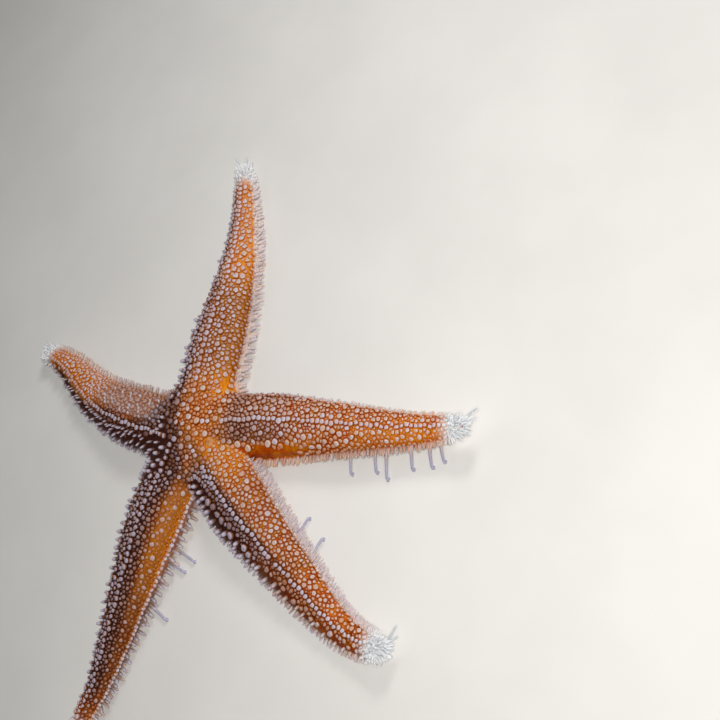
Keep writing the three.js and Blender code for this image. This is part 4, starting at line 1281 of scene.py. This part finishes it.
TONE = 0.84
C = dict(
    # brown and violet are the painted shade of the skin, gold serves the painted light; the darker copies of root, rim,
    # peach, white and warm below are shaded copies for the painted shade
    orange=lin(204, 82, 0), deep=lin(100, 28, 0), glow=lin(236, 134, 3), lit_gold=lin(244, 158, 14), lit_gold_root=lin(204, 100, 4), brown=lin(76, 30, 10), violet=lin(58, 30, 28),
    under=lin(226, 168, 116), cream=lin(228, 188, 148),
    root=lin(98, 30, 0), root_lt=lin(146, 56, 1), lilac=lin(238, 226, 238), root_shaded=lin(54, 24, 16), rim=lin(212, 112, 36), rim_shaded=lin(104, 62, 48), peach=lin(222, 136, 56),
    tan=lin(192, 100, 24), peach_shaded=lin(96, 56, 40), white=lin(236, 212, 194), white_shaded=lin(204, 196, 216), warm_shaded=lin(182, 144, 136),
    ice=lin(252, 253, 255), ice_dk=lin(220, 225, 232), pink=lin(238, 222, 214), edge_root=lin(206, 122, 66),
    core=lin(160, 148, 158), pale=lin(250, 238, 232), pale_root=lin(244, 224, 214),
)
C = {k: (r * TONE, g * TONE, b * TONE, 1.0) for k, (r, g, b, a) in C.items()}


def skin_material():
    g = Nodes("skin")
    n1, n2, n3 = g.noise(0.22, 3), g.noise(1.1, 4), g.noise(4.5, 3)
    col = g.mix(g.remap(n1, 0.38, 0.66), C["orange"], C["glow"])
    red = g.attr("of_red")
    col = g.mix(g.math("MULTIPLY", g.remap(n2, 0.44, 0.62), g.math("ADD", g.math("MULTIPLY", red, 0.6), 0.2, True)), col, C["deep"])
    col = g.mix(g.math("MULTIPLY", red, 0.40), col, C["deep"])
    # painted light: gold where the skin faces the lamps
    col = g.mix(g.math("MULTIPLY", g.attr("of_gold"), 0.85), col, g.mix(g.remap(n2, 0.40, 0.66), C["lit_gold"], C["glow"]))
    # painted shade: brown to violet where the skin faces away from the lamps
    dark = g.mix(g.remap(n2, 0.35, 0.65), C["brown"], C["violet"])
    col = g.mix(g.attr("of_dark"), col, dark)
    # pale edges, paler on the lit sides as painted light
    col = g.mix(g.math("MULTIPLY", g.attr("of_pale"), 0.85), col, g.mix(g.remap(n2, 0.35, 0.65), C["pale"], C["pale_root"]))
    pale = g.mix(g.remap(n2, 0.35, 0.65), C["under"], C["cream"])
    col = g.mix(g.attr("of_under"), col, pale)
    col = g.mix(g.math("MULTIPLY", g.attr("of_tip"), 0.85), col, C["ice"])
    rough = g.remap(n3, 0.3, 0.7, 0.38, 0.56)
    b = g.bump(n3, 0.5, 0.10)
    b = g.bump(g.cells(1.6), 0.35, 0.16, b)
    return g.done(col, rough, b, Specular_IOR_Level=0.12)


def knob_material(name="spines", edge=False):
    g = Nodes(name)
    h, w, r_, shade_and_brown, ul = g.attr("sp_h"), g.attr("of_white"), g.attr("of_rand"), g.attr("of_dark"), g.attr("of_under")
    pale_and_lit = g.attr("of_pale")
    n2, n3 = g.noise(1.5, 3), g.noise(6.0, 3)
    hn = g.math("ADD", h, g.math("MULTIPLY", g.math("SUBTRACT", n2, 0.5), 0.22))
    red = g.attr("of_red")
    # painted light: gold roots on the sides that face the lamps
    warm_root = g.mix(g.math("MULTIPLY", g.attr("of_gold"), 0.85), g.mix(g.remap(red, 0.0, 0.55), C["root_lt"], C["root"]), C["lit_gold_root"])
    # painted shade: roots, tops and rims go darker and the whites lilac where the sides face away from the lamps
    root = g.mix(shade_and_brown, warm_root if not edge else C["edge_root"], C["root_shaded"] if not edge else C["rim_shaded"])
    root = g.mix(g.math("MULTIPLY", pale_and_lit, 0.9), root, C["pale_root"])
    warm = g.mix(g.remap(r_, 0.25, 0.75), C["peach"], g.mix(g.remap(n2, 0.4, 0.6), C["tan"], C["glow"]))
    small = g.mix(shade_and_brown, warm, C["peach_shaded"])
    small = g.mix(pale_and_lit, small, C["pale"])
    white = g.mix(g.remap(r_, 0.30, 0.90), C["white"], C["lilac"])
    white = g.mix(shade_and_brown, white, g.mix(g.remap(red, 0.5, 0.85), C["white_shaded"], C["warm_shaded"]))
    top = g.mix(w, small, white)
    top = g.mix(g.math("MULTIPLY", g.remap(n3, 0.45, 0.75), 0.22), top, C["rim"])
    if edge:
        rim = g.mix(shade_and_brown, g.mix(w, C["rim"], C["pink"]), C["rim_shaded"])
        rim = g.mix(g.math("MULTIPLY", pale_and_lit, 0.9), rim, C["pale"])
        col = g.mix(g.remap(hn, 0.02, 0.34), root, rim)
        col = g.mix(g.remap(hn, 0.34, 0.80), col, top)
        col = g.mix(g.math("MULTIPLY", ul, 0.5), col, C["cream"])
    else:
        # the shoulder is paler than a small knob's middle, and warmer than a large one's
        rim = g.mix(g.math("MULTIPLY", shade_and_brown, 0.75), g.mix(g.remap(r_, 0.1, 0.9), C["rim"], C["peach"]), C["rim_shaded"])
        rim = g.mix(g.math("MULTIPLY", pale_and_lit, 0.9), rim, C["pale"])
        col = g.mix(g.remap(hn, 0.22, 0.52), root, rim)
        col = g.mix(g.remap(hn, 0.58, 0.88), col, top)
    if not edge:
        middle = g.math("MULTIPLY", g.remap(h, 0.955, 0.985), g.math("MULTIPLY", w, 0.34))
        col = g.mix(middle, col, C["core"])
    icy = g.mix(g.remap(hn, 0.0, 0.7), C["ice_dk"], C["ice"])
    col = g.mix(g.attr("of_tip"), col, icy)
    rough = g.remap(n3, 0.3, 0.7, 0.32, 0.48)
    b = g.bump(n3, 0.45, 0.07)
    return g.done(col, rough, b, Specular_IOR_Level=0.22)


def foot_material():
    g = Nodes("tube_feet")
    h, r_ = g.attr("sp_h"), g.attr("of_rand")
    n2, n3 = g.noise(1.2, 3), g.noise(5.0, 2)
    col = g.mix(g.remap(h, 0.1, 0.6), lin(202, 178, 168), lin(178, 178, 202))
    col = g.mix(g.math("MULTIPLY", g.remap(n2, 0.4, 0.7), 0.5), col, lin(160, 152, 176))
    col = g.mix(g.remap(h, 0.86, 0.95), col, lin(222, 220, 228))
    b = g.bump(n3, 0.4, 0.06)
    return g.done(col, g.remap(n3, 0.3, 0.7, 0.26, 0.42), b, Specular_IOR_Level=0.36)


def feeler_material():
    g = Nodes("feelers")
    h = g.attr("sp_h")
    n2, n3 = g.noise(1.2, 3), g.noise(5.0, 2)
    col = g.mix(g.remap(h, 0.1, 0.9), lin(190, 200, 212), lin(222, 228, 236))
    col = g.mix(g.math("MULTIPLY", g.remap(n2, 0.4, 0.7), 0.4), col, lin(168, 182, 204))
    b = g.bump(n3, 0.35, 0.05)
    return g.done(col, g.remap(n3, 0.3, 0.7, 0.22, 0.36), b, Specular_IOR_Level=0.36)


def simple_material(name, a, b_, dark, per_mm, r0, r1, bump_mm):
    g = Nodes(name)
    n1, n2, n3 = g.noise(per_mm, 4), g.noise(per_mm * 4, 3), g.cells(per_mm * 3)
    col = g.mix(g.remap(n1, 0.35, 0.65), a, b_)
    col = g.mix(g.math("MULTIPLY", g.remap(n2, 0.45, 0.7), 0.5), col, dark)
    b = g.bump(n2, 0.5, bump_mm)
    b = g.bump(n3, 0.3, bump_mm, b)
    return g.done(col, g.remap(n2, 0.3, 0.7, r0, r1), b, Specular_IOR_Level=0.36)


SKIN = skin_material()
KNOBS = knob_material()
EDGE = knob_material("edge_spines", True)
FEETM = foot_material()
FEELM = feeler_material()
MADM = simple_material("sieve_plate", lin(214, 158, 108), lin(200, 134, 78), lin(150, 84, 36), 0.9, 0.42, 0.6, 0.05)
MOUTHM = simple_material("mouth_skin", lin(222, 160, 120), lin(206, 128, 92), lin(180, 96, 70), 0.5, 0.30, 0.48, 0.06)
EYEM = simple_material("eyespots", lin(150, 24, 14), lin(176, 40, 18), lin(96, 12, 10), 2.5, 0.22, 0.34, 0.03)

flesh = ["disc"] + [f"arm_{a}_{p}" for a in "abcde" for p in ("base", "middle", "outer")]
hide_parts(*flesh)
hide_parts("madreporite")
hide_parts("mouth")


def dress(ob, mat):
    ob.data.materials.append(mat)
    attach(ob, "root")


dress(skin, SKIN)
dress(madre, MADM)
dress(mouth, MOUTHM)
for e in eyes:
    dress(e, EYEM)
for ob in coat:
    n = ob.name
    if n in ("tube_feet", "stretched_feet"):
        dress(ob, FEETM)
    elif n == "tip_feelers":
        dress(ob, FEELM)
    elif n.startswith("knobs_"):
        dress(ob, KNOBS)
    else:
        dress(ob, EDGE)

# -------------------------------------------------------------- floor and light
me = bpy.data.meshes.new("floor")
me.from_pydata([(-3, -3, 0), (3, -3, 0), (3, 3, 0), (-3, 3, 0)], [], [(0, 1, 2, 3)])
floor = bpy.data.objects.new("floor", me)
bpy.context.scene.collection.objects.link(floor)
floor.location.z = -0.00005
g = Nodes("floor")
n1, n2 = g.noise(0.02, 3), g.noise(0.6, 3)
floor.data.materials.append(g.done(g.mix(g.remap(n1, 0.3, 0.7), lin(230, 228, 225), lin(236, 234, 231)), g.remap(n2, 0.3, 0.7, 0.7, 0.8), g.bump(n2, 0.1, 0.05)))


def area(name, at, towards, size, watts, color=(1, 1, 1)):
    d = bpy.data.lights.new(name, "AREA")
    d.shape, d.size, d.energy, d.color = "DISK", size, watts, color
    o = bpy.data.objects.new(name, d)
    bpy.context.scene.collection.objects.link(o)
    o.location = at
    o.rotation_euler = (Vector(towards) - Vector(at)).to_track_quat("-Z", "Y").to_euler()
    return o


area("key", (0.215, -0.10, 0.29), (0.01, 0.01, 0), 0.055, 0.92, (1.0, 0.985, 0.955))
area("top", (0.17, 0.25, 0.25), (0.0, 0.04, 0), 0.10, 0.44, (1.0, 0.99, 0.97))
area("fill", (-0.34, 0.16, 0.50), (-0.02, 0, 0), 0.5, 0.42, (0.97, 0.98, 1.0))
world = bpy.data.worlds.new("studio")
bpy.context.scene.world = world
world.use_nodes = True
world.node_tree.nodes["Background"].inputs[0].default_value = (1.0, 0.98, 0.96, 1)
world.node_tree.nodes["Background"].inputs[1].default_value = 0.05

# ---------------------------------------------------------------------- camera
cam = bpy.data.cameras.new("camera")
cam.lens, cam.sensor_width, cam.sensor_fit = 50.0, 36.0, "HORIZONTAL"
co = bpy.data.objects.new("camera", cam)
bpy.context.scene.collection.objects.link(co)
eye, aim = Vector((0.19104, -0.09135, 0.23539)), Vector((0.04932, 0.01255, 0.00368))
f = (aim - eye).normalized()
r = f.cross(Vector((0, 1, 0))).normalized()
u = r.cross(f)
ROLL = math.radians(0.2)
r, u = r * math.cos(ROLL) + u * math.sin(ROLL), u * math.cos(ROLL) - r * math.sin(ROLL)
m = Matrix((r, u, -f)).transposed().to_4x4()
m.translation = eye
co.matrix_world = m
cam.clip_start, cam.clip_end = 0.01, 20
bpy.context.scene.camera = co
bpy.context.scene.view_settings.view_transform = "Standard"

tris = {o.name: sum(len(p.vertices) - 2 for p in o.data.polygons) for o in [skin, madre, mouth] + eyes + coat}
print("triangles", sum(tris.values()), tris)
